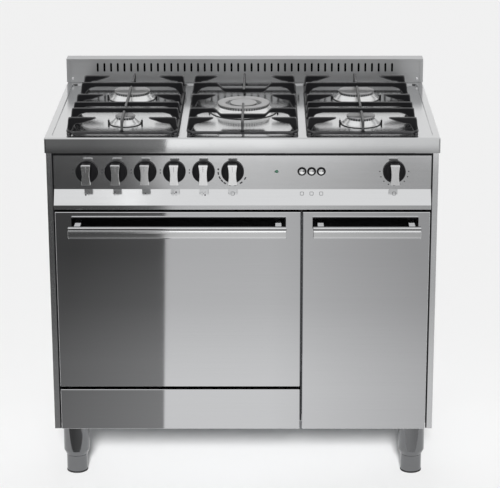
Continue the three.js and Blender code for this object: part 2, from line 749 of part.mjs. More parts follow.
/** The heights of the tops of an oven's shelf ribs. */
function shelfLevels(oven) {
  const count = Math.floor((oven.roof - oven.floor) / SHELF_PITCH) - 1;
  return Array.from({ length: count }, (_, i) => oven.floor + (i + 1) * SHELF_PITCH);
}

/** One pressed shelf rib on a side wall, flat on top and sloped below. */
function shelfRib(wall, inwards, top) {
  const profile = outline([
    [wall - inwards * SHEET / 2, top], [wall + inwards * SHELF_RIB_DEPTH, top],
    [wall + inwards * SHELF_RIB_DEPTH, top - SHELF_RIB_HEIGHT / 3],
    [wall - inwards * SHEET / 2, top - SHELF_RIB_HEIGHT],
  ]);
  const front = frameBack + SHELF_INSET;
  return deepened(profile, front, front + OVEN_DEPTH - 2 * SHELF_INSET);
}

/** The seal round an oven's mouth, on the front of the frame. */
function ovenGasket(oven) {
  const ring = rounded(oven.left - GASKET_WIDTH, oven.right + GASKET_WIDTH,
    oven.floor - GASKET_WIDTH, oven.roof + GASKET_WIDTH, OVEN_CORNER + GASKET_WIDTH);
  ring.holes.push(rounded(oven.left, oven.right, oven.floor, oven.roof, OVEN_CORNER));
  return deepened(ring, bossFace + SEAT_GAP, frameFace - SEAT_GAP, { smooth: 3 });
}

/** A wire rack that lies on one pair of shelf ribs. */
function ovenRack(oven) {
  const bottom = shelfLevels(oven)[RACK_LEVEL] + SEAT_GAP;
  const front = frameBack + SHELF_INSET + RACK_ROD;
  const back = frameBack + OVEN_DEPTH - SHELF_INSET - FAN_COVER_DEPTH;
  const left = oven.left + RACK_SIDE_PLAY;
  const right = oven.right - RACK_SIDE_PLAY;
  const rim = rounded(left, right, front, back, OVEN_CORNER);
  rim.holes.push(rounded(left + RACK_ROD, right - RACK_ROD, front + RACK_ROD, back - RACK_ROD,
    OVEN_CORNER - RACK_ROD));
  const frame = risen(rim, bottom, bottom + RACK_ROD, { bevel: RACK_ROD / 4 });
  const count = Math.floor((right - left) / RACK_WIRE_PITCH);
  const middleWire = bottom + RACK_ROD - RACK_WIRE_RADIUS;
  const wires = Array.from({ length: count }, (_, i) => {
    const x = oven.middle + (i - (count - 1) / 2) * RACK_WIRE_PITCH;
    return rod('y', [x, middleWire], front + RACK_ROD / 2, back - RACK_ROD / 2, RACK_WIRE_RADIUS, 4);
  });
  return frame.add(join(wires));
}

/** The dished cover over the fan at the back of the main oven. */
function fanCover() {
  const back = frameBack + OVEN_DEPTH;
  const face = back - FAN_COVER_DEPTH;
  const rim = FAN_COVER_RADIUS;
  const flat = rim - FAN_COVER_DEPTH;
  const dish = spunFromFront([[0, 0], [flat, 0], [rim - SHEET, FAN_COVER_DEPTH - SHEET],
    [rim, FAN_COVER_DEPTH], [rim - 2 * SHEET, FAN_COVER_DEPTH], [flat - SHEET, SHEET], [0, SHEET]],
  LARGE_SIDES);
  const slots = Array.from({ length: FAN_SLOTS }, (_, i) => {
    const slot = deepened(uprightSlot(0, FAN_SLOT_START, FAN_SLOT_WIDTH, FAN_SLOT_LENGTH),
      -SHEET, 2 * SHEET);
    return slot.rotate([0, (360 * i) / FAN_SLOTS, 0]);
  });
  const place = [mainOven.middle, face, (mainOven.floor + mainOven.roof) / 2];
  return { solid: cut(dish, slots), place };
}

/** The looped heating element under the roof of the main oven, with its rear block. */
function grillElement() {
  const { middle } = mainOven;
  const wall = frameBack + OVEN_DEPTH;
  const reach = MAIN_OVEN_WIDTH / 3;
  const inner = MAIN_OVEN_WIDTH / 8;
  const near = frameBack + OVEN_DEPTH / 8;
  const far = wall - OVEN_DEPTH / 8;
  const half = ELEMENT_LEG_SPREAD / 2;
  const loop = roundedPath([
    [middle - half, wall - half], [middle - half, far], [middle - reach, far], [middle - reach, near],
    [middle - inner, near], [middle - inner, far - 2 * half - ELEMENT_BEND],
    [middle + inner, far - 2 * half - ELEMENT_BEND], [middle + inner, near], [middle + reach, near],
    [middle + reach, far], [middle + half, far], [middle + half, wall - half],
  ], ELEMENT_BEND, 2);
  const z = mainOven.roof - ELEMENT_BELOW_ROOF;
  const tube = risen(band(loop, 2 * ELEMENT_RADIUS), z - ELEMENT_RADIUS, z + ELEMENT_RADIUS);
  const rearBlock = block(middle - 2 * half, middle + 2 * half, wall - half - SHEET, wall,
    z - half / 2, z + half / 2);
  return tube.add(rearBlock);
}

// ---------------------------------------------------------------- doors

/** The outer pan of a door: a polished face with folded edges, cut back below the hinge. */
function doorPanel(door) {
  const hingeZ = door.bottom + HINGE_RISE;
  const pan = deepened(rounded(door.left, door.right, door.bottom, doorTop, DOOR_CORNER),
    doorFace, hingeY + DOOR_CORNER, { bevel: DOOR_CORNER / 2 });
  const hollow = block(door.left + SHEET, door.right - SHEET, doorFace + SHEET, hingeY + 2 * SHEET,
    door.bottom + SHEET, doorTop - SHEET);
  const backTrim = block(door.left - SHEET, door.right + SHEET, hingeY, hingeY + 2 * DOOR_CORNER,
    door.bottom - SHEET, doorTop + SHEET);
  const swingRoom = widened(outline([
    [doorFace + DOOR_BOTTOM_RETURN, door.bottom - SHEET], [hingeY + SHEET, door.bottom - SHEET],
    [hingeY + SHEET, hingeZ + SHEET], [doorFace + DOOR_BOTTOM_RETURN, door.bottom + SHEET],
  ]), door.left - SHEET, door.right + SHEET);
  return cut(pan, [hollow, backTrim, swingRoom]);
}

/** The inner pressing of a door, with a raised field and the two hinge lugs and pins. */
function doorInner(door) {
  const back = hingeY + SEAT_GAP;
  const low = door.bottom + HINGE_RISE + HINGE_EAR_RADIUS + SHEET;
  const high = doorTop - SHEET;
  const left = door.left + SHEET;
  const right = door.right - SHEET;
  const flange = deepened(rounded(left, right, low, high, BOSS_CORNER / 2), back, back + SHEET);
  const field = deepened(rounded(left + BOSS_MARGIN, right - BOSS_MARGIN,
    low + SHEET, high - BOSS_MARGIN, BOSS_CORNER), back, bossFace);
  const hollow = deepened(rounded(left + BOSS_MARGIN + SHEET, right - BOSS_MARGIN - SHEET,
    low + 2 * SHEET, high - BOSS_MARGIN - SHEET, BOSS_CORNER - SHEET), back - SHEET, bossFace - SHEET);
  const hinges = hingePlaces(door).map((hinge) => hingeLug(door, hinge, low));
  return flange.add(field).subtract(hollow).add(join(hinges));
}

/** One hinge lug with its pin, below the edge of a door's inner pressing. */
function hingeLug(door, { x, outward }, panelLow) {
  const z = door.bottom + HINGE_RISE;
  const near = x + outward * (HINGE_EAR / 2 + HINGE_SIDE_PLAY);
  const far = near + outward * HINGE_EAR;
  const [x0, x1] = [Math.min(near, far), Math.max(near, far)];
  const eye = rod('x', [hingeY, z], x0, x1, HINGE_EAR_RADIUS, SMALL_SIDES);
  const arm = block(x0, x1, hingeY - SHEET, hingeY + HINGE_EAR_RADIUS, z, panelLow + 3 * SHEET);
  const pinEnd = x - outward * (HINGE_EAR / 2 + SHEET);
  const pin = rod('x', [hingeY, z], Math.min(pinEnd, far), Math.max(pinEnd, far), HINGE_PIN_RADIUS,
    SMALL_SIDES);
  return join([eye, arm, pin]);
}

/** A door handle: a grooved bar on two brackets, drawn in from both ends. */
function doorHandle(door, inset) {
  const middle = (door.left + door.right) / 2;
  const centre = doorTop - HANDLE_BELOW_TOP;
  const back = doorFace - HANDLE_REACH;
  const face = back - HANDLE_THICK;
  const low = centre - HANDLE_HEIGHT / 2;
  const high = centre + HANDLE_HEIGHT / 2;
  const round = HANDLE_THICK / 4;
  const ledge = high - HANDLE_LEDGE;
  const section = new THREE.Shape();
  section.moveTo(back, low + round);
  section.lineTo(back, high - round);
  section.quadraticCurveTo(back, high, back - round, high);
  section.lineTo(face + round / 2, high);
  section.lineTo(face, high - round / 2);
  section.lineTo(face, ledge);
  section.lineTo(face + HANDLE_GROOVE, ledge);
  section.lineTo(face + HANDLE_GROOVE, ledge - HANDLE_GROOVE);
  section.lineTo(face, ledge - HANDLE_GROOVE);
  section.quadraticCurveTo(face - 2 * HANDLE_BULGE, centre - HANDLE_GROOVE, face, low + 2 * round);
  section.quadraticCurveTo(face + round / 4, low, face + 2 * round, low);
  section.lineTo(back - round, low);
  section.quadraticCurveTo(back, low, back, low + round);
  const bar = widened(section, door.left + inset, door.right - inset, { smooth: 4 });
  const brackets = [-1, 1].map((side) => {
    const x = middle + side * (middle - door.left - inset - BRACKET_INSET - BRACKET_WIDTH / 2);
    return deepened(rounded(x - BRACKET_WIDTH / 2, x + BRACKET_WIDTH / 2, centre - BRACKET_HEIGHT / 2,
      centre + BRACKET_HEIGHT / 2, BRACKET_HEIGHT / 4), back - SHEET, doorFace - SEAT_GAP);
  });
  return join([bar, ...brackets]);
}

// ---------------------------------------------------------------- storage drawer

/** The left and right outer faces of the drawer box. */
function drawerSides() {
  return { left: mainDoor.left + DRAWER_SIDE_GAP, right: mainDoor.right - DRAWER_SIDE_GAP };
}

/** The polished front of the storage drawer, with short folded edges. */
function drawerFront() {
  const pan = deepened(rounded(mainDoor.left, mainDoor.right, frontBottom, drawerTop, DOOR_CORNER),
    doorFace, doorFace + DRAWER_FRONT_RETURN + DOOR_CORNER, { bevel: DOOR_CORNER / 2 });
  const hollow = block(mainDoor.left + SHEET, mainDoor.right - SHEET, doorFace + SHEET,
    doorFace + DRAWER_FRONT_RETURN + 2 * DOOR_CORNER, frontBottom + SHEET, drawerTop - SHEET);
  const backTrim = block(mainDoor.left - SHEET, mainDoor.right + SHEET, doorFace + DRAWER_FRONT_RETURN,
    doorFace + DRAWER_FRONT_RETURN + 2 * DOOR_CORNER, frontBottom - SHEET, drawerTop + SHEET);
  return cut(pan, [hollow, backTrim]);
}

/** The open box of the storage drawer. */
function drawerBox() {
  const { left, right } = drawerSides();
  const front = doorFace + SHEET + SEAT_GAP;
  const back = front + DRAWER_DEPTH;
  const top = drawerFloor + DRAWER_WALL_HEIGHT;
  const body = block(left, right, front, back, drawerFloor, top);
  const hollow = block(left + SHEET, right - SHEET, front + SHEET, back - SHEET,
    drawerFloor + SHEET, top + SHEET);
  return body.subtract(hollow);
}

// ---------------------------------------------------------------- controls

/** A control knob: a round skirt, a waisted grip bar with a pointer and the shaft behind. */
function controlKnob() {
  const skirtFront = -KNOB_LIFT - KNOB_DISC_THICK;
  const gripFront = skirtFront - KNOB_GRIP_REACH;
  const skirt = spunFromFront([[0, -KNOB_LIFT], [KNOB_DISC_RADIUS, -KNOB_LIFT],
    [KNOB_DISC_RADIUS, skirtFront + KNOB_CHAMFER], [KNOB_DISC_RADIUS - KNOB_CHAMFER, skirtFront],
    [0, skirtFront]], LARGE_SIDES);
  const half = KNOB_GRIP_WIDTH / 2;
  const tall = KNOB_GRIP_HEIGHT / 2;
  const corner = half / 3;
  const grip = new THREE.Shape();
  grip.moveTo(-half + corner, -tall);
  grip.lineTo(half - corner, -tall);
  grip.quadraticCurveTo(half, -tall, half, -tall + corner);
  grip.quadraticCurveTo(half - 2 * KNOB_GRIP_WAIST, 0, half, tall - corner);
  grip.quadraticCurveTo(half, tall, half - corner, tall);
  grip.lineTo(-half + corner, tall);
  grip.quadraticCurveTo(-half, tall, -half, tall - corner);
  grip.quadraticCurveTo(-half + 2 * KNOB_GRIP_WAIST, 0, -half, -tall + corner);
  grip.quadraticCurveTo(-half, -tall, -half + corner, -tall);
  const bar = deepened(grip, gripFront, skirtFront + KNOB_CHAMFER, { bevel: KNOB_GRIP_BEVEL });
  const pointer = block(-POINTER_WIDTH / 2, POINTER_WIDTH / 2, gripFront - POINTER_PROUD,
    gripFront + KNOB_GRIP_BEVEL, tall / 3, tall - KNOB_GRIP_BEVEL);
  const shaft = rod('y', [0, 0], -KNOB_DISC_THICK / 2, SHEET + KNOB_SHAFT_LENGTH, KNOB_SHAFT_RADIUS,
    SMALL_SIDES);
  return join([skirt, bar, pointer, shaft]);
}

/** The gas rail behind the panel: a pipe, one valve for each knob and the rear inlet. */
function gasRail() {
  const front = panelBack + SEAT_GAP;
  const half = VALVE_SIZE / 2;
  const start = knobPlaces[0] - VALVE_SIZE;
  const turn = railX - RAIL_BEND;
  const pipe = rod('x', [railY, railZ], start, turn, RAIL_RADIUS, SMALL_SIDES);
  const bend = quarterBend(turn, railY + RAIL_BEND, railZ);
  const back = rod('y', [railX, railZ], railY + RAIL_BEND, rearCoverBack + SHEET, RAIL_RADIUS,
    SMALL_SIDES);
  const inlet = rod('y', [railX, railZ], rearCoverBack + SEAT_GAP,
    rearCoverBack + REAR_FITTING, INLET_RADIUS, SMALL_SIDES);
  const valves = knobPlaces.map((x) =>
    block(x - half, x + half, front, front + VALVE_DEPTH, railZ - half / 2, knobZ + half));
  const bores = knobPlaces.map((x) => rod('y', [x, knobZ], front - SHEET,
    front + KNOB_SHAFT_LENGTH + SHEET, KNOB_SHAFT_RADIUS + SHAFT_CLEARANCE, SMALL_SIDES));
  return cut(join([pipe, bend, back, inlet, ...valves]), bores);
}

/** A quarter turn of the rail about a centre, overlapping the straight pipe at both ends. */
function quarterBend(x, y, z) {
  const overlap = 2;
  const points = [[-overlap, -RAIL_BEND]];
  for (const angle of [-90, -67.5, -45, -22.5, 0]) {
    const turn = THREE.MathUtils.degToRad(angle);
    points.push([RAIL_BEND * Math.cos(turn), RAIL_BEND * Math.sin(turn)]);
  }
  points.push([RAIL_BEND, overlap]);
  const route = new THREE.CatmullRomCurve3(points.map(([px, py]) => new THREE.Vector3(x + px, y + py, z)));
  const section = circle(0, 0, RAIL_RADIUS, SMALL_SIDES);
  return solidOf(new THREE.ExtrudeGeometry(section, { steps: 6, extrudePath: route, bevelEnabled: false }));
}

/** The black bezel strip behind the panel, with a ring round each push button. */
function buttonBezel() {
  const strip = deepened(rounded(
    buttonPlaces[0] - 2 * BUTTON_RING_RADIUS, buttonPlaces[2] + 2 * BUTTON_RING_RADIUS,
    knobZ - 1.5 * BUTTON_RING_RADIUS, knobZ + 1.5 * BUTTON_RING_RADIUS, BUTTON_RING_WALL),
  panelBack + SEAT_GAP, panelBack + SEAT_GAP + BEZEL_BACK);
  const rings = buttonPlaces.map((x) => rod('y', [x, knobZ], panelFace - BEZEL_PROUD,
    panelBack + BEZEL_BACK, BUTTON_RING_RADIUS));
  const bores = buttonPlaces.map((x) => rod('y', [x, knobZ], panelFace - BEZEL_PROUD - SHEET,
    panelBack + 2 * BEZEL_BACK, BUTTON_RING_RADIUS - BUTTON_RING_WALL));
  return cut(join([strip, ...rings]), bores);
}

/** A push button: a round cap with a soft edge, and a collar that holds it behind the bezel. */
function pushButton() {
  const back = SHEET + SEAT_GAP + BEZEL_BACK + SEAT_GAP;
  const collar = BUTTON_RING_RADIUS - BUTTON_RING_WALL / 2;
  const end = BUTTON_LENGTH - BUTTON_PROUD;
  return spunFromFront([[0, -BUTTON_PROUD], [BUTTON_RADIUS - BUTTON_EDGE, -BUTTON_PROUD],
    [BUTTON_RADIUS, BUTTON_EDGE - BUTTON_PROUD], [BUTTON_RADIUS, back], [collar, back],
    [collar, back + BUTTON_COLLAR], [BUTTON_RADIUS / 2, back + BUTTON_COLLAR], [BUTTON_RADIUS / 2, end],
    [0, end]], SMALL_SIDES);
}

/** The pilot lamp: a domed lens and the collar that seats it behind the panel. */
function pilotLamp() {
  const seat = SHEET + SEAT_GAP;
  return spunFromFront([[0, -LAMP_DOME], [LAMP_RADIUS / 2, -0.8 * LAMP_DOME], [LAMP_RADIUS, -LAMP_DOME / 4],
    [LAMP_RADIUS, seat],
    [LAMP_COLLAR, seat], [LAMP_COLLAR, seat + LAMP_BACK], [0, seat + LAMP_BACK]], SMALL_SIDES);
}

// ---------------------------------------------------------------- legs and feet

/** A tubular leg with a mounting flange and the bore that its foot turns up into. */
function leg() {
  const bore = FOOT_STEM_RADIUS + STEM_CLEARANCE;
  const top = BODY_BOTTOM - SEAT_GAP;
  return spun([[0, top - LEG_FLANGE_THICK], [bore, top - LEG_FLANGE_THICK], [bore, FOOT_HEIGHT],
    [FOOT_RADIUS + SEAT_GAP, FOOT_HEIGHT], [LEG_RADIUS, FOOT_HEIGHT + LEG_TAPER],
    [LEG_RADIUS, top - 2 * LEG_FLANGE_THICK], [LEG_FLANGE_RADIUS, top - LEG_FLANGE_THICK],
    [LEG_FLANGE_RADIUS, top], [0, top]]);
}

/** A foot that screws up into its leg, with a soft pad under it. */
function foot() {
  const top = FOOT_HEIGHT - SEAT_GAP;
  return spun([[0, 0], [FOOT_PAD_RADIUS, 0], [FOOT_PAD_RADIUS, FOOT_PAD_THICK],
    [FOOT_RADIUS, FOOT_PAD_THICK + 1], [FOOT_RADIUS, top], [FOOT_STEM_RADIUS, top],
    [FOOT_STEM_RADIUS, top + FOOT_STEM_LENGTH], [0, top + FOOT_STEM_LENGTH]]);
}

// ---------------------------------------------------------------- burners

/** Radial flame ports cut through the top of a crown, spaced by arc length. */
function flamePorts(radius, height) {
  const count = Math.round((2 * Math.PI * radius) / PORT_ARC);
  return Array.from({ length: count }, (_, i) => {
    const port = block(radius - CROWN_WALL - PORT_WIDTH, radius + PORT_WIDTH,
      -PORT_WIDTH / 2, PORT_WIDTH / 2, height - PORT_DEPTH, height + PORT_DEPTH);
    return port.rotate([0, 0, (360 * (i + 0.5)) / count]);
  });
}

/** The igniter and the flame sensor that stand on ears at the two sides of a burner. */
function burnerPosts(baseRadius) {
  const x = baseRadius + 1.5 * POST_RADIUS;
  const near = baseRadius - CROWN_LIP;
  const far = x + EAR_WIDTH / 2;
  return [-1, 1].flatMap((side) => [
    block(Math.min(side * near, side * far), Math.max(side * near, side * far),
      -EAR_WIDTH / 2, EAR_WIDTH / 2, SEAT_GAP, SEAT_GAP + CROWN_LIP),
    rod('z', [side * x, 0], SEAT_GAP, POST_HEIGHT, POST_RADIUS, SMALL_SIDES),
  ]);
}

/** More flat sides for a wider burner. */
function sidesFor(radius) {
  return radius > SEMI_CAP_RADIUS ? LARGE_SIDES : ROUND_SIDES;
}

/** A burner's crown and the gas cup that hangs below the hob. */
function burnerBase(capRadius) {
  const crown = capRadius - CAP_OVERHANG;
  const base = capRadius + CROWN_SPREAD;
  const inner = crown - CROWN_WALL;
  const body = spun([[0, -BURNER_CUP_DEPTH], [BURNER_CUP_RADIUS, -BURNER_CUP_DEPTH],
    [BURNER_CUP_RADIUS, SEAT_GAP], [base, SEAT_GAP], [base, SEAT_GAP + CROWN_LIP],
    [crown, CROWN_HEIGHT - PORT_DEPTH], [crown, CROWN_HEIGHT], [inner, CROWN_HEIGHT],
    [inner, CROWN_HEIGHT / 2], [BURNER_THROAT, CROWN_HEIGHT / 2],
    [BURNER_THROAT, BURNER_CUP_FLOOR - BURNER_CUP_DEPTH], [0, BURNER_CUP_FLOOR - BURNER_CUP_DEPTH]],
  sidesFor(capRadius));
  return cut(join([body, ...burnerPosts(base)]), flamePorts(crown, CROWN_HEIGHT));
}

/** A burner's cap, seated on the crown and centred by a spigot inside it. */
function burnerCap(capRadius, crownHeight) {
  const seat = crownHeight + SEAT_GAP;
  const spigot = capRadius - CAP_OVERHANG - CROWN_WALL - STEM_CLEARANCE;
  return spun([[0, seat - CAP_SPIGOT], [spigot, seat - CAP_SPIGOT], [spigot, seat], [capRadius, seat],
    [capRadius, seat + CAP_RIM], [capRadius - CAP_CHAMFER, seat + CAP_THICK],
    [0, seat + CAP_THICK + CAP_DOME]], sidesFor(capRadius));
}

/** The wok burner: an outer ring crown round an inner crown, over one gas cup. */
function wokBase() {
  const outer = WOK_CAP_RADIUS - CAP_OVERHANG;
  const ringInner = WOK_CAP_RADIUS - WOK_RING_WIDTH;
  const core = WOK_INNER_CAP_RADIUS - CAP_OVERHANG;
  const base = WOK_CAP_RADIUS + WOK_SPREAD;
  const low = WOK_CROWN_HEIGHT / 2;
  const body = spun([[0, -BURNER_CUP_DEPTH], [BURNER_CUP_RADIUS, -BURNER_CUP_DEPTH],
    [BURNER_CUP_RADIUS, SEAT_GAP], [base, SEAT_GAP], [base, SEAT_GAP + CROWN_LIP],
    [outer, WOK_CROWN_HEIGHT - PORT_DEPTH],
    [outer, WOK_CROWN_HEIGHT], [outer - CROWN_WALL, WOK_CROWN_HEIGHT], [outer - CROWN_WALL, low],
    [ringInner + CROWN_WALL, low], [ringInner + CROWN_WALL, WOK_CROWN_HEIGHT],
    [ringInner + CAP_OVERHANG, WOK_CROWN_HEIGHT], [ringInner + CAP_OVERHANG, low / 2], [core, low / 2],
    [core, WOK_CROWN_HEIGHT], [core - CROWN_WALL, WOK_CROWN_HEIGHT], [core - CROWN_WALL, low],
    [BURNER_THROAT, low], [BURNER_THROAT, BURNER_CUP_FLOOR - BURNER_CUP_DEPTH],
    [0, BURNER_CUP_FLOOR - BURNER_CUP_DEPTH]], LARGE_SIDES);
  const ports = [outer, core].flatMap((radius) => flamePorts(radius, WOK_CROWN_HEIGHT));
  return cut(join([body, ...burnerPosts(base)]), ports);
}

/** The ring-shaped cap of the wok burner. */
function wokRingCap() {
  const seat = WOK_CROWN_HEIGHT + SEAT_GAP;
  const inner = WOK_CAP_RADIUS - WOK_RING_WIDTH;
  const spigotOut = WOK_CAP_RADIUS - CAP_OVERHANG - CROWN_WALL - STEM_CLEARANCE;
  const spigotIn = inner + CROWN_WALL + STEM_CLEARANCE;
  return spun([[spigotIn, seat - CAP_SPIGOT], [spigotOut, seat - CAP_SPIGOT], [spigotOut, seat],
    [WOK_CAP_RADIUS, seat], [WOK_CAP_RADIUS, seat + CAP_RIM],
    [WOK_CAP_RADIUS - CAP_CHAMFER, seat + CAP_THICK], [inner + WOK_RING_SLOPE, seat + CAP_THICK],
    [inner, seat + CAP_THICK / 4], [inner, seat], [spigotIn, seat],
    [spigotIn, seat - CAP_SPIGOT]], LARGE_SIDES);
}

// ---------------------------------------------------------------- pan grates

/** The outline of a finger: a flat top, a tapering tip and a curved gusset at its root. */
function fingerOutline(root, tip, railLow, railTop, top) {
  const towards = Math.sign(tip - root);
  const under = top - FINGER_ROOT_DEPTH;
  const shape = new THREE.Shape();
  shape.moveTo(root, railLow);
  shape.lineTo(root + towards * BAR_SLANT, top);
  shape.lineTo(tip, top);
  shape.lineTo(tip, top - FINGER_TIP_DEPTH);
  shape.lineTo(root + towards * GUSSET_REACH, under);
  shape.quadraticCurveTo(root + towards * (GUSSET_REACH + GUSSET_WIDTH) / 2, under,
    root + towards * (GUSSET_WIDTH + SHEET), railTop);
  shape.lineTo(root + towards * GUSSET_WIDTH, railLow);
  return shape;
}

/** The outline of a full bar, from rail to rail, level or lowered in its middle. */
function barOutline(half, railLow, railTop, top, dip) {
  const under = top - BAR_DEPTH;
  const inner = WOK_DIP_HALF_WIDTH;
  const slopeTop = dip > 0 ? [[inner + dip, top], [inner, top - dip]] : [];
  const slopeUnder = dip > 0 ? [[inner + dip - BAR_SLANT, under], [inner - BAR_SLANT, under - dip]] : [];
  const gusset = [[half - GUSSET_WIDTH, railLow], [half - GUSSET_WIDTH - SHEET, railTop],
    [half - (GUSSET_WIDTH + GUSSET_REACH) / 2, under - BAR_SLANT]];
  const upper = [[half, railLow], [half - BAR_SLANT, top], ...slopeTop];
  const lower = [...gusset, [half - GUSSET_REACH - BAR_SLANT, under], ...slopeUnder];
  const mirrored = (points) => points.map(([x, z]) => [-x, z]);
  return outline([...mirrored(upper), ...upper.toReversed(), ...lower, ...mirrored(lower).toReversed()]);
}

/** One cast grate, centred on X = 0: a low rail on four feet with bars and fingers above it. */
function panGrate({ barRows, shortRows, fingerTip, dip, lengthwise }) {
  const half = grateWidth / 2;
  const railLow = wellTop + GRATE_RAIL_LIFT;
  const railTop = railLow + GRATE_RAIL_HEIGHT;
  const top = hobTop + GRATE_TOP;
  const rim = rounded(-half, half, GRATE_FRONT, grateBack, GRATE_CORNER);
  rim.holes.push(rounded(-half + GRATE_RAIL_WIDTH, half - GRATE_RAIL_WIDTH, GRATE_FRONT + GRATE_RAIL_WIDTH,
    grateBack - GRATE_RAIL_WIDTH, GRATE_CORNER - GRATE_RAIL_WIDTH));
  const rail = risen(rim, railLow, railTop, { smooth: 3 });
  const inset = GRATE_FOOT_INSET;
  const feet = [-half + inset, half - inset].flatMap((x) =>
    [GRATE_FRONT + inset, grateBack - inset].map((y) =>
      rod('z', [x, y], wellTop + SEAT_GAP, railLow + SHEET, BAR_THICK, SMALL_SIDES)));
  const thick = [-BAR_THICK / 2, BAR_THICK / 2];
  const rootLow = railLow + SHEET / 2;
  const rootHalf = half - SHEET / 2;
  const bars = barRows.map((y) => deepened(barOutline(rootHalf, rootLow, railTop, top, dip),
    y + thick[0], y + thick[1]));
  const fingers = shortRows.flatMap((y) => [-1, 1].map((side) => deepened(
    fingerOutline(side * rootHalf, side * fingerTip, rootLow, railTop, top), y + thick[0], y + thick[1])));
  const spines = lengthwise.map(([root, tip]) =>
    widened(fingerOutline(root, tip, rootLow, railTop, top), ...thick));
  return join([rail, ...feet, ...bars, ...fingers, ...spines]);
}

/** A grate for two burners, one in front of the other. */
function sideGrate() {
  const middleBar = SIDE_BAR_ROWS[1];
  return panGrate({
    barRows: SIDE_BAR_ROWS,
    shortRows: SHORT_ROWS,
    fingerTip: FINGER_TIP,
    dip: 0,
    lengthwise: [
      [GRATE_FRONT + SHEET / 2, FRONT_BURNER_Y - FRONT_SPINE_SHORT],
      [grateBack - SHEET / 2, REAR_BURNER_Y + REAR_SPINE_SHORT],
    ],
  }).add(middleSpine(middleBar));
}

/** The double finger that crosses the middle bar of a side grate. */
function middleSpine(bar) {
  const top = hobTop + GRATE_TOP;
  const tipUnder = top - FINGER_TIP_DEPTH;
  const rootUnder = top - FINGER_ROOT_DEPTH;
  const front = bar - MIDDLE_SPINE_FRONT;
  const rear = REAR_BURNER_Y - MIDDLE_SPINE_SHORT;
  return widened(outline([
    [front, top], [front, tipUnder], [bar - BAR_THICK, rootUnder], [bar + 2 * BAR_THICK, rootUnder],
    [(bar + rear) / 2, top - BAR_DEPTH], [rear, tipUnder], [rear, top],
  ]), -BAR_THICK / 2, BAR_THICK / 2);
}

/** The middle grate, whose bars are lowered to cradle a wok. */
function wokGrate() {
  return panGrate({
    barRows: WOK_BAR_ROWS,
    shortRows: SHORT_ROWS,
    fingerTip: WOK_FINGER_TIP,
    dip: WOK_BAR_DIP,
    lengthwise: [
      [GRATE_FRONT + SHEET / 2, WOK_BURNER_Y - WOK_CAP_RADIUS - WOK_FRONT_SPINE_SHORT],
      [grateBack - SHEET / 2, WOK_BURNER_Y + WOK_CAP_RADIUS + WOK_REAR_SPINE_SHORT],
    ],
  });
}

// ---------------------------------------------------------------- assembly

const cooker = new THREE.Group();

/** Adds one named piece to the cooker, at its place. */
function add(name, solid, material, place = [0, 0, 0]) {
  const mesh = new THREE.Mesh(geometryOf(solid), material);
  mesh.name = name;
  mesh.position.set(...place);
  cooker.add(mesh);
}

/** The casing and everything that is fixed to it outside the ovens. */
function addCasing() {
  add('side_panel_left', sidePanel(-1), polishedSteel());
  add('side_panel_right', sidePanel(1), polishedSteel());
  add('rear_cover', rearCover(), galvanised());
  add('base_plate', basePlate(), galvanised());
  add('front_frame', frontFrame(), greyEnamel());
  add('hob_plate', hobPlate(), polishedSteel());
  add('rear_upstand', rearUpstand(), brushedSteel());
  add('control_panel', controlPanel(), brushedSteel());
}

/** Both ovens with their liners, seals, racks, fan cover and heating element. */
function addOvens() {
  for (const [name, oven] of [['main_oven', mainOven], ['small_oven', smallOven]]) {
    add(`${name}_liner`, ovenLiner(oven), greyEnamel());
    add(`${name}_gasket`, ovenGasket(oven), blackRubber());
    add(`${name}_rack`, ovenRack(oven), chromeWire());
  }
  const fan = fanCover();
  add('main_oven_fan_cover', fan.solid, greyEnamel(), fan.place);
  add('main_oven_grill_element', grillElement(), elementSteel());
}

/** Both doors, each with its outer pan, its inner pressing and its handle. */
function addDoors() {
  const doors = [['main_door', mainDoor, MAIN_HANDLE_INSET], ['small_door', smallDoor, SMALL_HANDLE_INSET]];
  for (const [name, door, handleInset] of doors) {
    add(`${name}_panel`, doorPanel(door), polishedSteel());
    add(`${name}_inner`, doorInner(door), greyEnamel());
    add(`${name}_handle`, doorHandle(door, handleInset), satinMetal());
  }
}

/** The storage drawer under the main oven. */
function addDrawer() {
  add('drawer_front', drawerFront(), polishedSteel());
  add('drawer_box', drawerBox(), galvanised());
}

/** The knobs, their valves on the gas rail, the push buttons and the pilot lamp. */
function addControls() {
  const names = ['front_left', 'rear_left', 'wok', 'rear_right', 'front_right', 'main_oven', 'small_oven'];
  const knob = controlKnob();
  knobPlaces.forEach((x, i) => add(`knob_${names[i]}`, knob, satinMetal(), [x, panelFace, knobZ]));
  add('gas_rail', gasRail(), brassPlated());
  add('button_bezel', buttonBezel(), blackPlastic());
  ['left', 'middle', 'right'].forEach((name, i) => {
    add(`button_${name}`, pushButton(), satinMetal(), [buttonPlaces[i], panelFace, knobZ]);
  });
  add('pilot_lamp', pilotLamp(), greenLens(), [lampX, panelFace, knobZ]);
}

/** The four legs and their adjustable feet. */
function addLegs() {
  for (const [depthName, y] of [['front', FRONT_LEG_Y], ['rear', rearLegY]]) {
    for (const [sideName, x] of [['left', -legX], ['right', legX]]) {
      add(`leg_${depthName}_${sideName}`, leg(), satinMetal(), [x, y, 0]);
      add(`foot_${depthName}_${sideName}`, foot(), satinMetal(), [x, y, 0]);
    }
  }
}

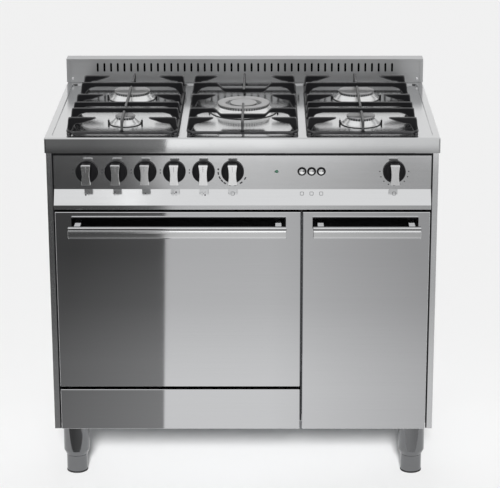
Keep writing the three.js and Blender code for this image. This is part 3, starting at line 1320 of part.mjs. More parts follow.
/** The burners with their loose caps. */
function addBurners() {
  for (const { name, x, y, capRadius } of burnerPlaces) {
    add(`burner_${name}`, burnerBase(capRadius), castAluminium(), [x, y, wellTop]);
    add(`cap_${name}`, burnerCap(capRadius, CROWN_HEIGHT), castAluminium(), [x, y, wellTop]);
  }
  const place = [wokPlace.x, wokPlace.y, wellTop];
  add('burner_wok', wokBase(), castAluminium(), place);
  add('cap_wok_ring', wokRingCap(), castAluminium(), place);
  add('cap_wok_centre', burnerCap(WOK_INNER_CAP_RADIUS, WOK_CROWN_HEIGHT), castAluminium(), place);
}

/** The three pan grates. */
function addGrates() {
  const sides = sideGrate();
  add('grate_left', sides, castIron(), [-gratePitch, 0, 0]);
  add('grate_middle', wokGrate(), castIron());
  add('grate_right', sides, castIron(), [gratePitch, 0, 0]);
}

addCasing();
addOvens();
addDoors();
addDrawer();
addControls();
addLegs();
addBurners();
addGrates();

const handleFront = new THREE.Box3().setFromObject(cooker).min.y;
cooker.position.y = -(handleFront + HOB_DEPTH) / 2;

export default cooker;
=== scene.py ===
"""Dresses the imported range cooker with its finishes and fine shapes, and lights it.

Everything is in metres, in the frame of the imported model: X to the right, Y towards the
wall, Z up from the floor. The solids give every place, and the pieces here stand on them.
"""

import logging
import math
from dataclasses import dataclass, field
from enum import Enum
from typing import Iterable, Sequence

import bmesh
import bpy
from mathutils import Matrix, Vector


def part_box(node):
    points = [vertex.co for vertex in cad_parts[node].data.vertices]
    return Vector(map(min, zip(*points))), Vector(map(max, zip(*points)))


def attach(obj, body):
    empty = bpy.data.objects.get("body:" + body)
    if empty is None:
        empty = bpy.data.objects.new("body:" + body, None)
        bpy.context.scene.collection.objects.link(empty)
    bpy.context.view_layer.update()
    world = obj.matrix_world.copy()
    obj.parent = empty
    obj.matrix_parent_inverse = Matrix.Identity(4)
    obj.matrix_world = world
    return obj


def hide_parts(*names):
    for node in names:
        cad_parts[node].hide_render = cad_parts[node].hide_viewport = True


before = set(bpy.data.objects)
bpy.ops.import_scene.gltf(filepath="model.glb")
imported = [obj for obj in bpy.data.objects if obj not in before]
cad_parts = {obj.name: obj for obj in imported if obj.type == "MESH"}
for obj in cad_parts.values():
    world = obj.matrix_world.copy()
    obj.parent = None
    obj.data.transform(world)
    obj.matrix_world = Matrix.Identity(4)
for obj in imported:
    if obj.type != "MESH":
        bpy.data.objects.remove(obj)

LOG = logging.getLogger("range_cooker")
MM = 0.001
PHOTO_WIDTH = 500

Pair = tuple[float, float]
Colour = tuple[float, float, float]


# ------------------------------------------------------------------ where things are


class Axis(Enum):
    """The way a shape's own Z axis points once it is placed."""

    UP = 0
    OUT_OF_FRONT = 1
    TO_RIGHT = 2

    def at(self, origin: Sequence[float]) -> Matrix:
        """The matrix that sets a shape down at an origin.

        Args:
            origin: the shape's own origin, in the row frame.

        Returns:
            A matrix from the shape's own axes to the row frame.
        """
        columns = {
            Axis.UP: ((1, 0, 0), (0, 1, 0), (0, 0, 1)),
            Axis.OUT_OF_FRONT: ((1, 0, 0), (0, 0, 1), (0, -1, 0)),
            Axis.TO_RIGHT: ((0, 1, 0), (0, 0, 1), (1, 0, 0)),
        }[self]
        turn = Matrix(columns).transposed().to_4x4()
        return Matrix.Translation(Vector(origin)) @ turn


def middle_of(node: str) -> Vector:
    """The middle of a solid's box."""
    low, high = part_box(node)
    return (low + high) / 2


# ------------------------------------------------------------------ outlines and meshes


def arc_corner(before: Vector, corner: Vector, after: Vector, radius: float, steps: int) -> list[Vector]:
    """Rounds one corner of an outline.

    Args:
        before: the point before the corner.
        corner: the corner itself.
        after: the point after the corner.
        radius: how far from the corner the rounding starts.
        steps: how many edges the rounding has.

    Returns:
        The points that take the corner's place.
    """
    back, ahead = before - corner, after - corner
    reach = min(radius, back.length / 2, ahead.length / 2)
    if reach < 1e-6:
        return [corner]
    start = corner + back.normalized() * reach
    end = corner + ahead.normalized() * reach
    shares = [i / steps for i in range(steps + 1)]
    return [(1 - t) ** 2 * start + 2 * t * (1 - t) * corner + t**2 * end for t in shares]


def softened(points: Iterable[Pair], radius: float, closed: bool = True, steps: int = 4) -> list[Pair]:
    """An outline with every corner rounded.

    Args:
        points: the outline's corners.
        radius: how far from each corner its rounding starts.
        closed: whether the last point joins the first.
        steps: how many edges each rounding has.

    Returns:
        The points of the rounded outline.
    """
    corners = [Vector(point) for point in points]
    count = len(corners)
    result: list[Vector] = []
    for i, corner in enumerate(corners):
        if not closed and i in (0, count - 1):
            result.append(corner)
            continue
        result += arc_corner(corners[i - 1], corner, corners[(i + 1) % count], radius, steps)
    return [(point.x, point.y) for point in result]


def rectangle(x0: float, x1: float, y0: float, y1: float) -> list[Pair]:
    """The corners of a rectangle, anticlockwise."""
    return [(x0, y0), (x1, y0), (x1, y1), (x0, y1)]


def inset_loop(points: Sequence[Vector], amount: float) -> list[Vector]:
    """An outline moved inwards by an amount.

    Args:
        points: the anticlockwise outline.
        amount: how far each edge moves in.

    Returns:
        The moved outline, with as many points.
    """
    count = len(points)
    moved = []
    for i, point in enumerate(points):
        inward = (point - points[i - 1]).normalized()
        outward = (points[(i + 1) % count] - point).normalized()
        along = inward + outward
        if along.length < 1e-9:
            moved.append(point.copy())
            continue
        along.normalize()
        side = Vector((-along.y, along.x))
        moved.append(point + side * amount / max(along.dot(outward), 0.4))
    return moved


class Shape:
    """A mesh made of closed shells, built in metres."""

    def __init__(self) -> None:
        """Starts with an empty mesh."""
        self.bm = bmesh.new()

    def _ring(self, points: Iterable[Vector], place: Matrix) -> list[bmesh.types.BMVert]:
        """Adds the vertices of one ring at their place."""
        return [self.bm.verts.new(place @ point) for point in points]

    def _bridge(self, first: Sequence[bmesh.types.BMVert], second: Sequence[bmesh.types.BMVert]) -> None:
        """Joins two rings, either of which may be a single point, with faces."""
        count = max(len(first), len(second))
        for i in range(count):
            j = (i + 1) % count
            corners = [
                first[i % len(first)], first[j % len(first)], second[j % len(second)], second[i % len(second)]
            ]
            self.bm.faces.new(list(dict.fromkeys(corners)))

    def lathe(self, profile: Sequence[Pair], place: Matrix, sides: int = 64, ring: bool = False) -> "Shape":
        """Adds a turned shell.

        Args:
            profile: (radius, height) points, from the axis back to the axis.
            place: where the shell's own Z axis stands.
            sides: how many sides stand for a full circle.
            ring: whether the profile closes on itself, clear of the axis.

        Returns:
            This shape.
        """
        rings = []
        for radius, height in profile:
            if radius < 1e-7:
                rings.append(self._ring([Vector((0, 0, height))], place))
                continue
            angles = [2 * math.pi * i / sides for i in range(sides)]
            points = [Vector((radius * math.cos(a), radius * math.sin(a), height)) for a in angles]
            rings.append(self._ring(points, place))
        pairs = list(zip(rings, rings[1:]))
        if ring:
            pairs.append((rings[-1], rings[0]))
        for first, second in pairs:
            self._bridge(first, second)
        return self

    def prism(
        self, outline: Sequence[
            Pair
        ], low: float, high: float, place: Matrix, edge: float = 0.0, steps: int = 2
    ) -> "Shape":
        """Adds an outline drawn along the shape's own Z axis, with rounded rims.

        Args:
            outline: the anticlockwise outline.
            low: where the prism starts on its own Z axis.
            high: where it ends.
            place: where the outline's own axes stand.
            edge: the radius of both rims.
            steps: how many edges each rounded rim has.

        Returns:
            This shape.
        """
        points = [Vector((x, y)) for x, y in outline]
        turns = [math.pi / 2 * i / steps for i in range(steps + 1)] if edge else [math.pi / 2]
        levels = [(edge * (1 - math.sin(t)), low + edge * (1 - math.cos(t))) for t in turns]
        levels += [(inset, high - (height - low)) for inset, height in reversed(levels)]
        rings = []
        for inset, height in levels:
            loop = inset_loop(points, inset) if inset else points
            rings.append(self._ring([Vector((p.x, p.y, height)) for p in loop], place))
        for first, second in zip(rings, rings[1:]):
            self._bridge(first, second)
        self.bm.faces.new(list(reversed(rings[0])))
        self.bm.faces.new(rings[-1])
        return self

    def block(self, low: Sequence[float], high: Sequence[float], edge: float = 0.0) -> "Shape":
        """Adds a block between two corners, with rounded edges."""
        outline = rectangle(low[0], high[0], low[1], high[1])
        if edge:
            outline = softened(outline, edge, steps=3)
        return self.prism(outline, low[2], high[2], Matrix.Identity(4), edge * 0.8)

    def tube(self, path: Sequence[Vector], radius: float, sides: int = 12, closed: bool = False) -> "Shape":
        """Adds a round bar that follows a path.

        Args:
            path: the points of its middle line.
            radius: the bar's radius.
            sides: how many sides its section has.
            closed: whether the bar joins its own start.

        Returns:
            This shape.
        """
        points = [Vector(point) for point in path]
        count = len(points)
        side = None
        rings = []
        for i, point in enumerate(points):
            before = points[i - 1] if closed or i > 0 else point
            after = points[(i + 1) % count] if closed or i < count - 1 else point
            along = (after - before).normalized()
            if side is None:
                side = along.orthogonal().normalized()
            side = (side - along * side.dot(along)).normalized()
            up = along.cross(side)
            angles = [2 * math.pi * k / sides for k in range(sides)]
            rings.append(
                self._ring(
                    [point + radius * (math.cos(a) * side + math.sin(a) * up) for a in angles], Matrix()
                )
            )
        for first, second in zip(rings, rings[1:]):
            self._bridge(first, second)
        if closed:
            self._close_ring(rings[-1], rings[0])
        else:
            self.bm.faces.new(list(reversed(rings[0])))
            self.bm.faces.new(rings[-1])
        return self

    def _close_ring(self, last: list[bmesh.types.BMVert], first: list[bmesh.types.BMVert]) -> None:
        """Joins the last ring of a closed bar to the first, with the least twist."""
        count = len(first)
        shift = min(range(count), key=lambda k: (last[0].co - first[k].co).length)
        self._bridge(last, first[shift:] + first[:shift])

    def object(self, name: str, smooth_below: float = 38.0) -> bpy.types.Object:
        """Turns the shells into an object of the scene.

        Args:
            name: the object's name.
            smooth_below: edges that bend less than this, in degrees, are shaded smooth.

        Returns:
            The new object.
        """
        bmesh.ops.recalc_face_normals(self.bm, faces=self.bm.faces[:])
        mesh = bpy.data.meshes.new(name)
        self.bm.to_mesh(mesh)
        self.bm.free()
        mesh.shade_smooth()
        mesh.set_sharp_from_angle(angle=math.radians(smooth_below))
        made = bpy.data.objects.new(name, mesh)
        bpy.context.scene.collection.objects.link(made)
        weighted = made.modifiers.new("flat_faces", "WEIGHTED_NORMAL")
        weighted.keep_sharp = True
        return made


# ------------------------------------------------------------------ finishes


class Grain(Enum):
    """The way the fine lines of a sheet run, as how densely they change along X, Y and Z."""

    ALONG_X = (3.0, 1.0, 1.0)
    ALONG_Z = (1.0, 1.0, 3.0)
    NONE = (1.0, 1.0, 1.0)

    def stretch(self, fine: float) -> Colour:
        """The mapping scale that draws lines of a fineness along the grain."""
        return tuple(4.0 if value > 1.0 else fine for value in self.value)


class Graph:
    """Builds the nodes of one material."""

    def __init__(self, name: str) -> None:
        """Starts a material with an empty shader.

        Args:
            name: the material's name.
        """
        self.material = bpy.data.materials.new(name)
        self.material.use_nodes = True
        self.tree = self.material.node_tree
        self.tree.nodes.clear()
        self.output = self.tree.nodes.new("ShaderNodeOutputMaterial")
        self._coordinates: bpy.types.NodeSocket | None = None

    def node(self, kind: str, inputs: dict[str, object] | None = None, **settings: object) -> bpy.types.Node:
        """Adds a node, sets its properties and fills or links its inputs.

        Args:
            kind: the node's type name.
            inputs: input names to values or to the sockets that feed them.
            **settings: the node's own properties.

        Returns:
            The new node.
        """
        made = self.tree.nodes.new(kind)
        for key, value in settings.items():
            setattr(made, key, value)
        for key, value in (inputs or {}).items():
            if isinstance(value, bpy.types.NodeSocket):
                self.tree.links.new(value, made.inputs[key])
            else:
                made.inputs[key].default_value = value
        return made

    @property
    def coordinates(self) -> bpy.types.NodeSocket:
        """The piece's own coordinates, in metres."""
        if self._coordinates is None:
            self._coordinates = self.node("ShaderNodeTexCoord").outputs["Object"]
        return self._coordinates

    def noise(
        self, scale: float, detail: float = 4.0, stretch: Colour = (1, 1, 1), rough: float = 0.6
    ) -> bpy.types.NodeSocket:
        """Adds noise over the piece.

        Args:
            scale: how many spots there are to a metre.
            detail: how many finer layers the noise has.
            stretch: how much denser the noise is along X, Y and Z.
            rough: how strong the finer layers are.

        Returns:
            The socket with the noise, about 0.5.
        """
        mapped = self.node("ShaderNodeMapping", {"Vector": self.coordinates, "Scale": stretch})
        made = self.node(
            "ShaderNodeTexNoise",
            {"Vector": mapped.outputs[0], "Scale": scale, "Detail": detail, "Roughness": rough},
        )
        return made.outputs["Fac"]

    def level(
        self, source: bpy.types.NodeSocket, low: float, high: float, start: float = 0.25, end: float = 0.75
    ) -> bpy.types.NodeSocket:
        """Maps a value from one range to another, smoothly limited."""
        made = self.node(
            "ShaderNodeMapRange",
            {"Value": source, "From Min": start, "From Max": end, "To Min": low, "To Max": high},
        )
        return made.outputs["Result"]

    def maths(self, operation: str, first: object, second: object = 0.5) -> bpy.types.NodeSocket:
        """Adds a sum, product or other operation on two values."""
        made = self.tree.nodes.new("ShaderNodeMath")
        made.operation = operation
        for socket, value in zip(made.inputs, (first, second)):
            if isinstance(value, bpy.types.NodeSocket):
                self.tree.links.new(value, socket)
            else:
                socket.default_value = value
        return made.outputs[0]

    def blend(self, share: bpy.types.NodeSocket, first: Colour, second: Colour) -> bpy.types.NodeSocket:
        """Blends two colours by a share.

        Args:
            share: 0 for the first colour and 1 for the second.
            first: the first colour.
            second: the second colour.

        Returns:
            The socket with the blended colour.
        """
        made = self.tree.nodes.new("ShaderNodeMix")
        made.data_type = "RGBA"
        self.tree.links.new(share, made.inputs[0])
        made.inputs[6].default_value = (*first, 1.0)
        made.inputs[7].default_value = (*second, 1.0)
        return made.outputs[2]

    def bump(self, height: bpy.types.NodeSocket, strength: float, distance: float) -> bpy.types.NodeSocket:
        """Turns a height into a bump of a depth in metres."""
        made = self.node("ShaderNodeBump", {"Height": height, "Strength": strength, "Distance": distance})
        return made.outputs["Normal"]

    def principled(self, inputs: dict[str, object]) -> bpy.types.Material:
        """Closes the material with one surface shader.

        Args:
            inputs: the shader's input names to values or sockets.

        Returns:
            The finished material.
        """
        shader = self.node("ShaderNodeBsdfPrincipled", inputs)
        self.tree.links.new(shader.outputs[0], self.output.inputs["Surface"])
        return self.material


def shade(colour: Colour, factor: float) -> Colour:
    """A colour made lighter or darker."""
    return tuple(min(channel * factor, 1.0) for channel in colour)


@dataclass(frozen=True)
class Finish:
    """A finish with a name, a colour and a roughness."""

    name: str
    colour: Colour
    roughness: float

    def material(self) -> bpy.types.Material:
        """The finish as a material, made once."""
        label = self.name + "_finish"
        return bpy.data.materials.get(label) or self.build(Graph(label))

    def build(self, graph: Graph) -> bpy.types.Material:
        """Fills the material's nodes.

        Args:
            graph: the empty material.

        Returns:
            The finished material.
        """
        raise NotImplementedError


@dataclass(frozen=True)
class SteelSheet(Finish):
    """Steel sheet with fine grinding lines, faint waves and finger marks."""

    grain: Grain = Grain.ALONG_X
    line_depth: float = 0.000004
    line_density: float = 900.0
    contrast: float = 0.05
    marks: float = 0.04
    worktop: float = 0.0

    def build(self, graph: Graph) -> bpy.types.Material:
        """Fills the nodes of ground or polished sheet, duller where it faces up.

        Args:
            graph: the empty material.

        Returns:
            The finished material.
        """
        lines = graph.noise(1.0, 3.0, self.grain.stretch(self.line_density), 0.7)
        clouds = graph.noise(5.0, 5.0)
        spots = graph.noise(60.0, 3.0)
        colour = graph.blend(
            lines, shade(self.colour, 1 - self.contrast), shade(self.colour, 1 + self.contrast)
        )
        from_lines = graph.level(lines, -self.marks / 2, self.marks / 2)
        from_clouds = graph.level(clouds, -self.marks / 2, self.marks)
        from_spots = graph.level(spots, 0.0, self.marks / 3, 0.55, 0.8)
        rough = graph.maths("ADD", graph.maths("ADD", from_lines, from_clouds), from_spots)
        if self.worktop:
            normal = graph.node("ShaderNodeNewGeometry").outputs["Normal"]
            height = graph.node("ShaderNodeSeparateXYZ", {"Vector": normal}).outputs["Z"]
            rough = graph.maths("ADD", rough, graph.level(height, 0.0, self.worktop, 0.7, 0.9))
        return graph.principled(
            {
                "Base Color": colour,
                "Metallic": 1.0,
                "Roughness": graph.maths("ADD", rough, self.roughness),
                "Normal": graph.bump(lines, 0.6, self.line_depth),
            }
        )


@dataclass(frozen=True)
class VentSheet(SteelSheet):
    """Steel sheet with painted shade: near black inside the channel behind its slots."""

    inside_low: Colour = (-0.447, 0.2935, 0.84)
    inside_high: Colour = (0.447, 0.3282, 0.9185)
    # colour of the painted shade inside the channel
    painted_shade: Colour = (0.006, 0.006, 0.006)

    def build(self, graph: Graph) -> bpy.types.Material:
        """Fills the nodes of the sheet, with painted shade making the channel's inside near black.

        Args:
            graph: the empty material.

        Returns:
            The finished material.
        """
        made = super().build(graph)
        shader = graph.tree.nodes["Principled BSDF"]
        place = graph.node("ShaderNodeSeparateXYZ", {"Vector": graph.coordinates})
        inside: object = 1.0
        for name, low, high in zip("XYZ", self.inside_low, self.inside_high):
            above = graph.maths("GREATER_THAN", place.outputs[name], low)
            below = graph.maths("LESS_THAN", place.outputs[name], high)
            inside = graph.maths("MULTIPLY", inside, graph.maths("MULTIPLY", above, below))
        # painted shade: inside the channel's box the sheet's colour is swapped for near black
        mixed = graph.node("ShaderNodeMix", {0: inside}, data_type="RGBA")
        graph.tree.links.new(shader.inputs["Base Color"].links[0].from_socket, mixed.inputs[6])
        mixed.inputs[7].default_value = (*self.painted_shade, 1)
        graph.tree.links.new(mixed.outputs[2], shader.inputs["Base Color"])
        return made


@dataclass(frozen=True)
class CastIron(Finish):
    """Black enamelled casting, grainy, with edges rubbed lighter as wear and upward faces painted lighter as
    a highlight.
    """

    # lighter colour for the worn edges and the painted highlight on the tops
    worn_and_highlight: Colour = (0.24, 0.24, 0.245)

    def build(self, graph: Graph) -> bpy.types.Material:
        """Fills the nodes of the casting.

        Args:
            graph: the empty material.

        Returns:
            The finished material.
        """
        grit = graph.noise(900.0, 5.0)
        lumps = graph.noise(70.0, 4.0)
        geometry = graph.node("ShaderNodeNewGeometry")
        edges = graph.level(geometry.outputs["Pointiness"], 0.0, 0.55, 0.515, 0.56)
        height = graph.node("ShaderNodeSeparateXYZ", {"Vector": geometry.outputs["Normal"]}).outputs["Z"]
        # painted highlight: faces that point up are lighter
        tops = graph.level(height, 0.0, 0.22, 0.75, 1.0)
        # wear on the edges and the painted highlight on the tops share one lighter colour
        rubbed_and_highlit = graph.maths("MULTIPLY", graph.maths("MAXIMUM", edges, tops), graph.level(lumps, 0.35, 1.0))
        colour = graph.blend(rubbed_and_highlit, self.colour, self.worn_and_highlight)
        relief = graph.maths("ADD", grit, graph.maths("MULTIPLY", lumps, 1.5))
        return graph.principled(
            {
                "Base Color": colour,
                "Metallic": 0.0,
                "Roughness": graph.level(grit, self.roughness - 0.08, self.roughness + 0.12),
                "Specular IOR Level": 0.16,
                "Normal": graph.bump(relief, 0.55, 0.00012),
            }
        )


@dataclass(frozen=True)
class CastAluminium(Finish):
    """Satin cast aluminium with a fine sparkle and heat tints."""

    tint: Colour = (0.5, 0.47, 0.42)

    def build(self, graph: Graph) -> bpy.types.Material:
        """Fills the nodes of the casting.

        Args:
            graph: the empty material.

        Returns:
            The finished material.
        """
        grit = graph.noise(1400.0, 3.0)
        clouds = graph.noise(35.0, 4.0)
        heat = graph.level(clouds, 0.0, 0.35, 0.45, 0.8)
        return graph.principled(
            {
                "Base Color": graph.blend(heat, self.colour, self.tint),
                "Metallic": 1.0,
                "Roughness": graph.level(grit, self.roughness - 0.06, self.roughness + 0.08),
                "Normal": graph.bump(grit, 0.4, 0.00006),
            }
        )


@dataclass(frozen=True)
class SpeckledEnamel(Finish):
    """Glossy vitreous enamel with a fine pale speckle and orange peel."""

    speckle: Colour = (0.32, 0.33, 0.34)

    def build(self, graph: Graph) -> bpy.types.Material:
        """Fills the nodes of the enamel.

        Args:
            graph: the empty material.

        Returns:
            The finished material.
        """
        dots = graph.level(graph.noise(1100.0, 2.0), 0.0, 1.0, 0.66, 0.7)
        peel = graph.noise(180.0, 3.0)
        return graph.principled(
            {
                "Base Color": graph.blend(dots, self.colour, self.speckle),
                "Roughness": graph.level(peel, self.roughness - 0.04, self.roughness + 0.06),
                "Coat Weight": 0.6,
                "Coat Roughness": 0.08,
                "Normal": graph.bump(peel, 0.35, 0.00015),
            }
        )


@dataclass(frozen=True)
class ZincSheet(Finish):
    """Galvanised sheet with its crystal spangle."""

    spangle: float = 55.0

    def build(self, graph: Graph) -> bpy.types.Material:
        """Fills the nodes of the zinc coat.

        Args:
            graph: the empty material.

        Returns:
            The finished material.
        """
        cells = graph.node("ShaderNodeTexVoronoi", {"Vector": graph.coordinates, "Scale": self.spangle})
        share = graph.node("ShaderNodeSeparateColor", {"Color": cells.outputs["Color"]}).outputs[0]
        scuffs = graph.noise(25.0, 6.0)
        tone = graph.maths("ADD", graph.maths("MULTIPLY", share, 0.6), graph.maths("MULTIPLY", scuffs, 0.4))
        return graph.principled(
            {
                "Base Color": graph.blend(tone, shade(self.colour, 0.82), shade(self.colour, 1.15)),
                "Metallic": 0.9,
                "Roughness": graph.level(tone, self.roughness - 0.1, self.roughness + 0.1),
                "Normal": graph.bump(scuffs, 0.3, 0.0001),
            }
        )


@dataclass(frozen=True)
class Moulded(Finish):
    """Moulded plastic, rubber or print with a fine matt texture."""

    texture: float = 1500.0
    depth: float = 0.00004
    gloss: float = 0.5
    clear_coat: float = 0.0

    def build(self, graph: Graph) -> bpy.types.Material:
        """Fills the nodes of the moulding.

        Args:
            graph: the empty material.

        Returns:
            The finished material.
        """
        pores = graph.noise(self.texture, 3.0)
        dust = graph.noise(90.0, 5.0)
        return graph.principled(
            {
                "Base Color": graph.blend(
                    graph.level(dust, 0.0, 1.0), shade(self.colour, 0.85), shade(self.colour, 1.2)
                ),
                "Roughness": graph.level(pores, self.roughness - 0.05, self.roughness + 0.08),
                "Specular IOR Level": self.gloss,
                "Coat Weight": self.clear_coat,
                "Coat Roughness": 0.06,
                "Normal": graph.bump(pores, 0.3, self.depth),
            }
        )


DOOR_STEEL = SteelSheet(
    "door_steel", (0.61, 0.614, 0.625), 0.035, Grain.ALONG_X, 0.0000006, 700.0, 0.03, 0.015
)
HOB_STEEL = SteelSheet(
    "hob_steel", (0.54, 0.545, 0.55), 0.04, Grain.ALONG_X, 0.000001, 900.0, 0.03, 0.03, 0.1
)
SIDE_STEEL = SteelSheet("side_steel", (0.74, 0.745, 0.755), 0.12, Grain.ALONG_Z, 0.000004, 900.0, 0.05, 0.06)
PANEL_STEEL = SteelSheet(
    "panel_steel", (0.655, 0.66, 0.668), 0.09, Grain.ALONG_X, 0.000002, 900.0, 0.04, 0.03
)
VENT_STEEL = VentSheet("vent_steel", (0.47, 0.474, 0.48), 0.42, Grain.ALONG_X, 0.000004, 900.0, 0.06, 0.06)
GRIP_STEEL = SteelSheet("grip_steel", (0.95, 0.955, 0.96), 0.08, Grain.ALONG_Z, 0.000002, 1600.0, 0.05, 0.04)
HANDLE_STEEL = SteelSheet(
    "handle_steel", (0.72, 0.725, 0.73), 0.07, Grain.ALONG_X, 0.000001, 1400.0, 0.04, 0.03
)
# painted shade: the legs' steel is darker than the rest, standing in for the shade they mirror
SHADED_LEG_STEEL = SteelSheet("leg_steel_painted_shade", (0.2, 0.203, 0.208), 0.08, Grain.ALONG_Z, 0.000006, 1200.0, 0.07, 0.06)
CHROME_WIRE = SteelSheet("chrome_wire", (0.75, 0.76, 0.77), 0.1, Grain.NONE, 0.000003, 300.0, 0.03, 0.04)
SCREW_STEEL = SteelSheet("screw_steel", (0.78, 0.785, 0.79), 0.18, Grain.NONE, 0.000003, 800.0, 0.04, 0.05)
ELEMENT_STEEL = SteelSheet("element_steel", (0.2, 0.185, 0.165), 0.4, Grain.NONE, 0.00001, 400.0, 0.2, 0.1)
RAIL_BRASS = SteelSheet("rail_brass", (0.55, 0.42, 0.2), 0.3, Grain.NONE, 0.000006, 500.0, 0.15, 0.1)
IRON = CastIron("cast_iron", (0.004, 0.004, 0.0045), 0.3)
CROWN_METAL = CastAluminium("crown_metal", (0.74, 0.745, 0.75), 0.3)
CAP_METAL = CastAluminium("cap_metal", (0.4, 0.4, 0.405), 0.42, (0.3, 0.285, 0.26))
OVEN_ENAMEL = SpeckledEnamel("oven_enamel", (0.018, 0.02, 0.023), 0.22)
ZINC = ZincSheet("zinc_sheet", (0.52, 0.535, 0.55), 0.42)
# black plastic of the knobs and bezels, also the finish of the painted shade strips, port fills, knob cores
# and handle backing
BLACK_PLASTIC_AND_PAINTED_SHADE = Moulded("black_plastic_and_painted_shade", (0.004, 0.004, 0.0045), 0.3, gloss=0.14)
SEAL_FIBRE = Moulded("seal_fibre", (0.03, 0.03, 0.032), 0.85, texture=500.0, depth=0.0003, gloss=0.2)
# rubber of the foot pads, also the finish of the painted shadow ring under each burner crown
RUBBER_AND_PAINTED_SHADOW = Moulded("rubber_and_painted_shadow", (0.02, 0.02, 0.02), 0.75, gloss=0.25)
PRINT_INK = Moulded("print_ink", (0.02, 0.02, 0.022), 0.5, gloss=0.3)
LAMP_LENS = Moulded("lamp_lens", (0.012, 0.06, 0.035), 0.1, depth=0.00001, gloss=0.6, clear_coat=1.0)


def dressed(
    made: bpy.types.Object, finish: Finish, body: str, nodes: Sequence[str] = ()
) -> bpy.types.Object:
    """Gives a new piece its finish and sets it on its body.

    Args:
        made: the new object.
        finish: its finish.
        body: the body that it moves with.
        nodes: the solids that it stands for.

    Returns:
        The same object.
    """
    made.data.materials.clear()
    made.data.materials.append(finish.material())
    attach(made, body)
    if nodes:
        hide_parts(*nodes)
    LOG.info("made %s on %s", made.name, body)
    return made


def dress_solid(node: str, finish: Finish, edge: float = 0.0) -> None:
    """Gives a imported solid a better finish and, where asked, softer edges.

    Args:
        node: the solid's name.
        finish: its finish.
        edge: how wide its edges are rounded.
    """
    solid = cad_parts[node]
    solid.data.materials.clear()
    solid.data.materials.append(finish.material())
    stored = solid.data.attributes.get("custom_normal")
    if stored:
        solid.data.attributes.remove(stored)
    solid.data.shade_flat()
    if edge:
        weld = solid.modifiers.new("weld", "WELD")
        weld.merge_threshold = 0.00001
        bevel = solid.modifiers.new("edges", "BEVEL")
        bevel.width = edge
        bevel.segments = 2
        bevel.limit_method = "ANGLE"
        bevel.angle_limit = math.radians(40)
    LOG.info("dressed %s", node)


# ------------------------------------------------------------------ casing and hob


@dataclass
class Casing:
    """The sheet-metal body round the ovens, the hob and the vented upstand."""

    hob_edge: float = 0.6 * MM
    sheet_edge: float = 0.4 * MM
    screw_radius: float = 3.2 * MM
    flange: float = 16 * MM
    # sizes of the black strips that paint shadow beside the doors and under the fascia
    shadow_strip_width: float = 3.2 * MM
    shadow_gap: float = 8.5 * MM
    fascia_drop: float = 33.7 * MM
    shadow_strip_proud: float = 0.3 * MM
    shadow_strip_foot: float = 2 * MM
    shadow_strip_head: float = 36 * MM
    upstand_recess: float = 2 * MM
    upstand_screw_inset: float = 15 * MM
    upstand_screw_rise: float = 9 * MM

    def build(self) -> None:
        """Dresses the solids and adds the fasteners."""
        for side in ("left", "right"):
            dress_solid(f"side_panel_{side}", SIDE_STEEL, self.sheet_edge)
        dress_solid("rear_cover", ZINC)
        dress_solid("base_plate", ZINC)
        dress_solid("front_frame", OVEN_ENAMEL)
        dress_solid("hob_plate", HOB_STEEL, self.hob_edge)
        dress_solid("rear_upstand", VENT_STEEL)
        dress_solid("control_panel", PANEL_STEEL, self.sheet_edge)
        dress_solid("gas_rail", RAIL_BRASS)
        self.upstand_screws()
        self.painted_shadow_strips()

    def painted_shadow_strips(self) -> None:
        """Adds dark strips beside the doors and along the top of the control panel: painted shadow in the
        gaps there.
        """
        panel_low, panel_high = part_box("control_panel")
        side_low, side_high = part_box("side_panel_left")
        front = side_low.y
        shape = Shape()
        # painted shadow: a black strip on each side flange, where the gap beside the door is shaded
        for side in (-1, 1):
            inner = side * (abs(side_low.x) - self.flange)
            outer = inner + side * self.shadow_strip_width
            x0, x1 = min(inner, outer), max(inner, outer)
            low = (x0, front - self.shadow_strip_proud, side_low.z + self.shadow_strip_foot)
            shape.block(low, (x1, front + self.shadow_strip_proud, side_high.z - self.shadow_strip_head))
        # painted shadow: a black strip at the panel's top, where the hob's lip shades it
        top = side_high.z - self.fascia_drop
        low = (panel_low.x, front - self.shadow_strip_proud, top - self.shadow_gap)
        shape.block(low, (panel_high.x, front + self.shadow_strip_proud, top - self.shadow_strip_proud))
        dressed(shape.object("painted_shadow_strips"), BLACK_PLASTIC_AND_PAINTED_SHADE, "casing")

    def upstand_screws(self) -> None:
        """Adds the two bright screws at the ends of the upstand."""
        low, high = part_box("rear_upstand")
        face = low.y + self.upstand_recess
        shape = Shape()
        profile = softened(
            [
                (0, -MM), (self.screw_radius, -MM), (self.screw_radius, 0.5 * MM), (0, 1.3 * MM)
            ], 0.5 * MM, closed=False
        )
        for x in (low.x + self.upstand_screw_inset, high.x - self.upstand_screw_inset):
            shape.lathe(profile, Axis.OUT_OF_FRONT.at((x, face, low.z + self.upstand_screw_rise)), 32)
        dressed(shape.object("upstand_screws"), SCREW_STEEL, "casing")


# ------------------------------------------------------------------ burners


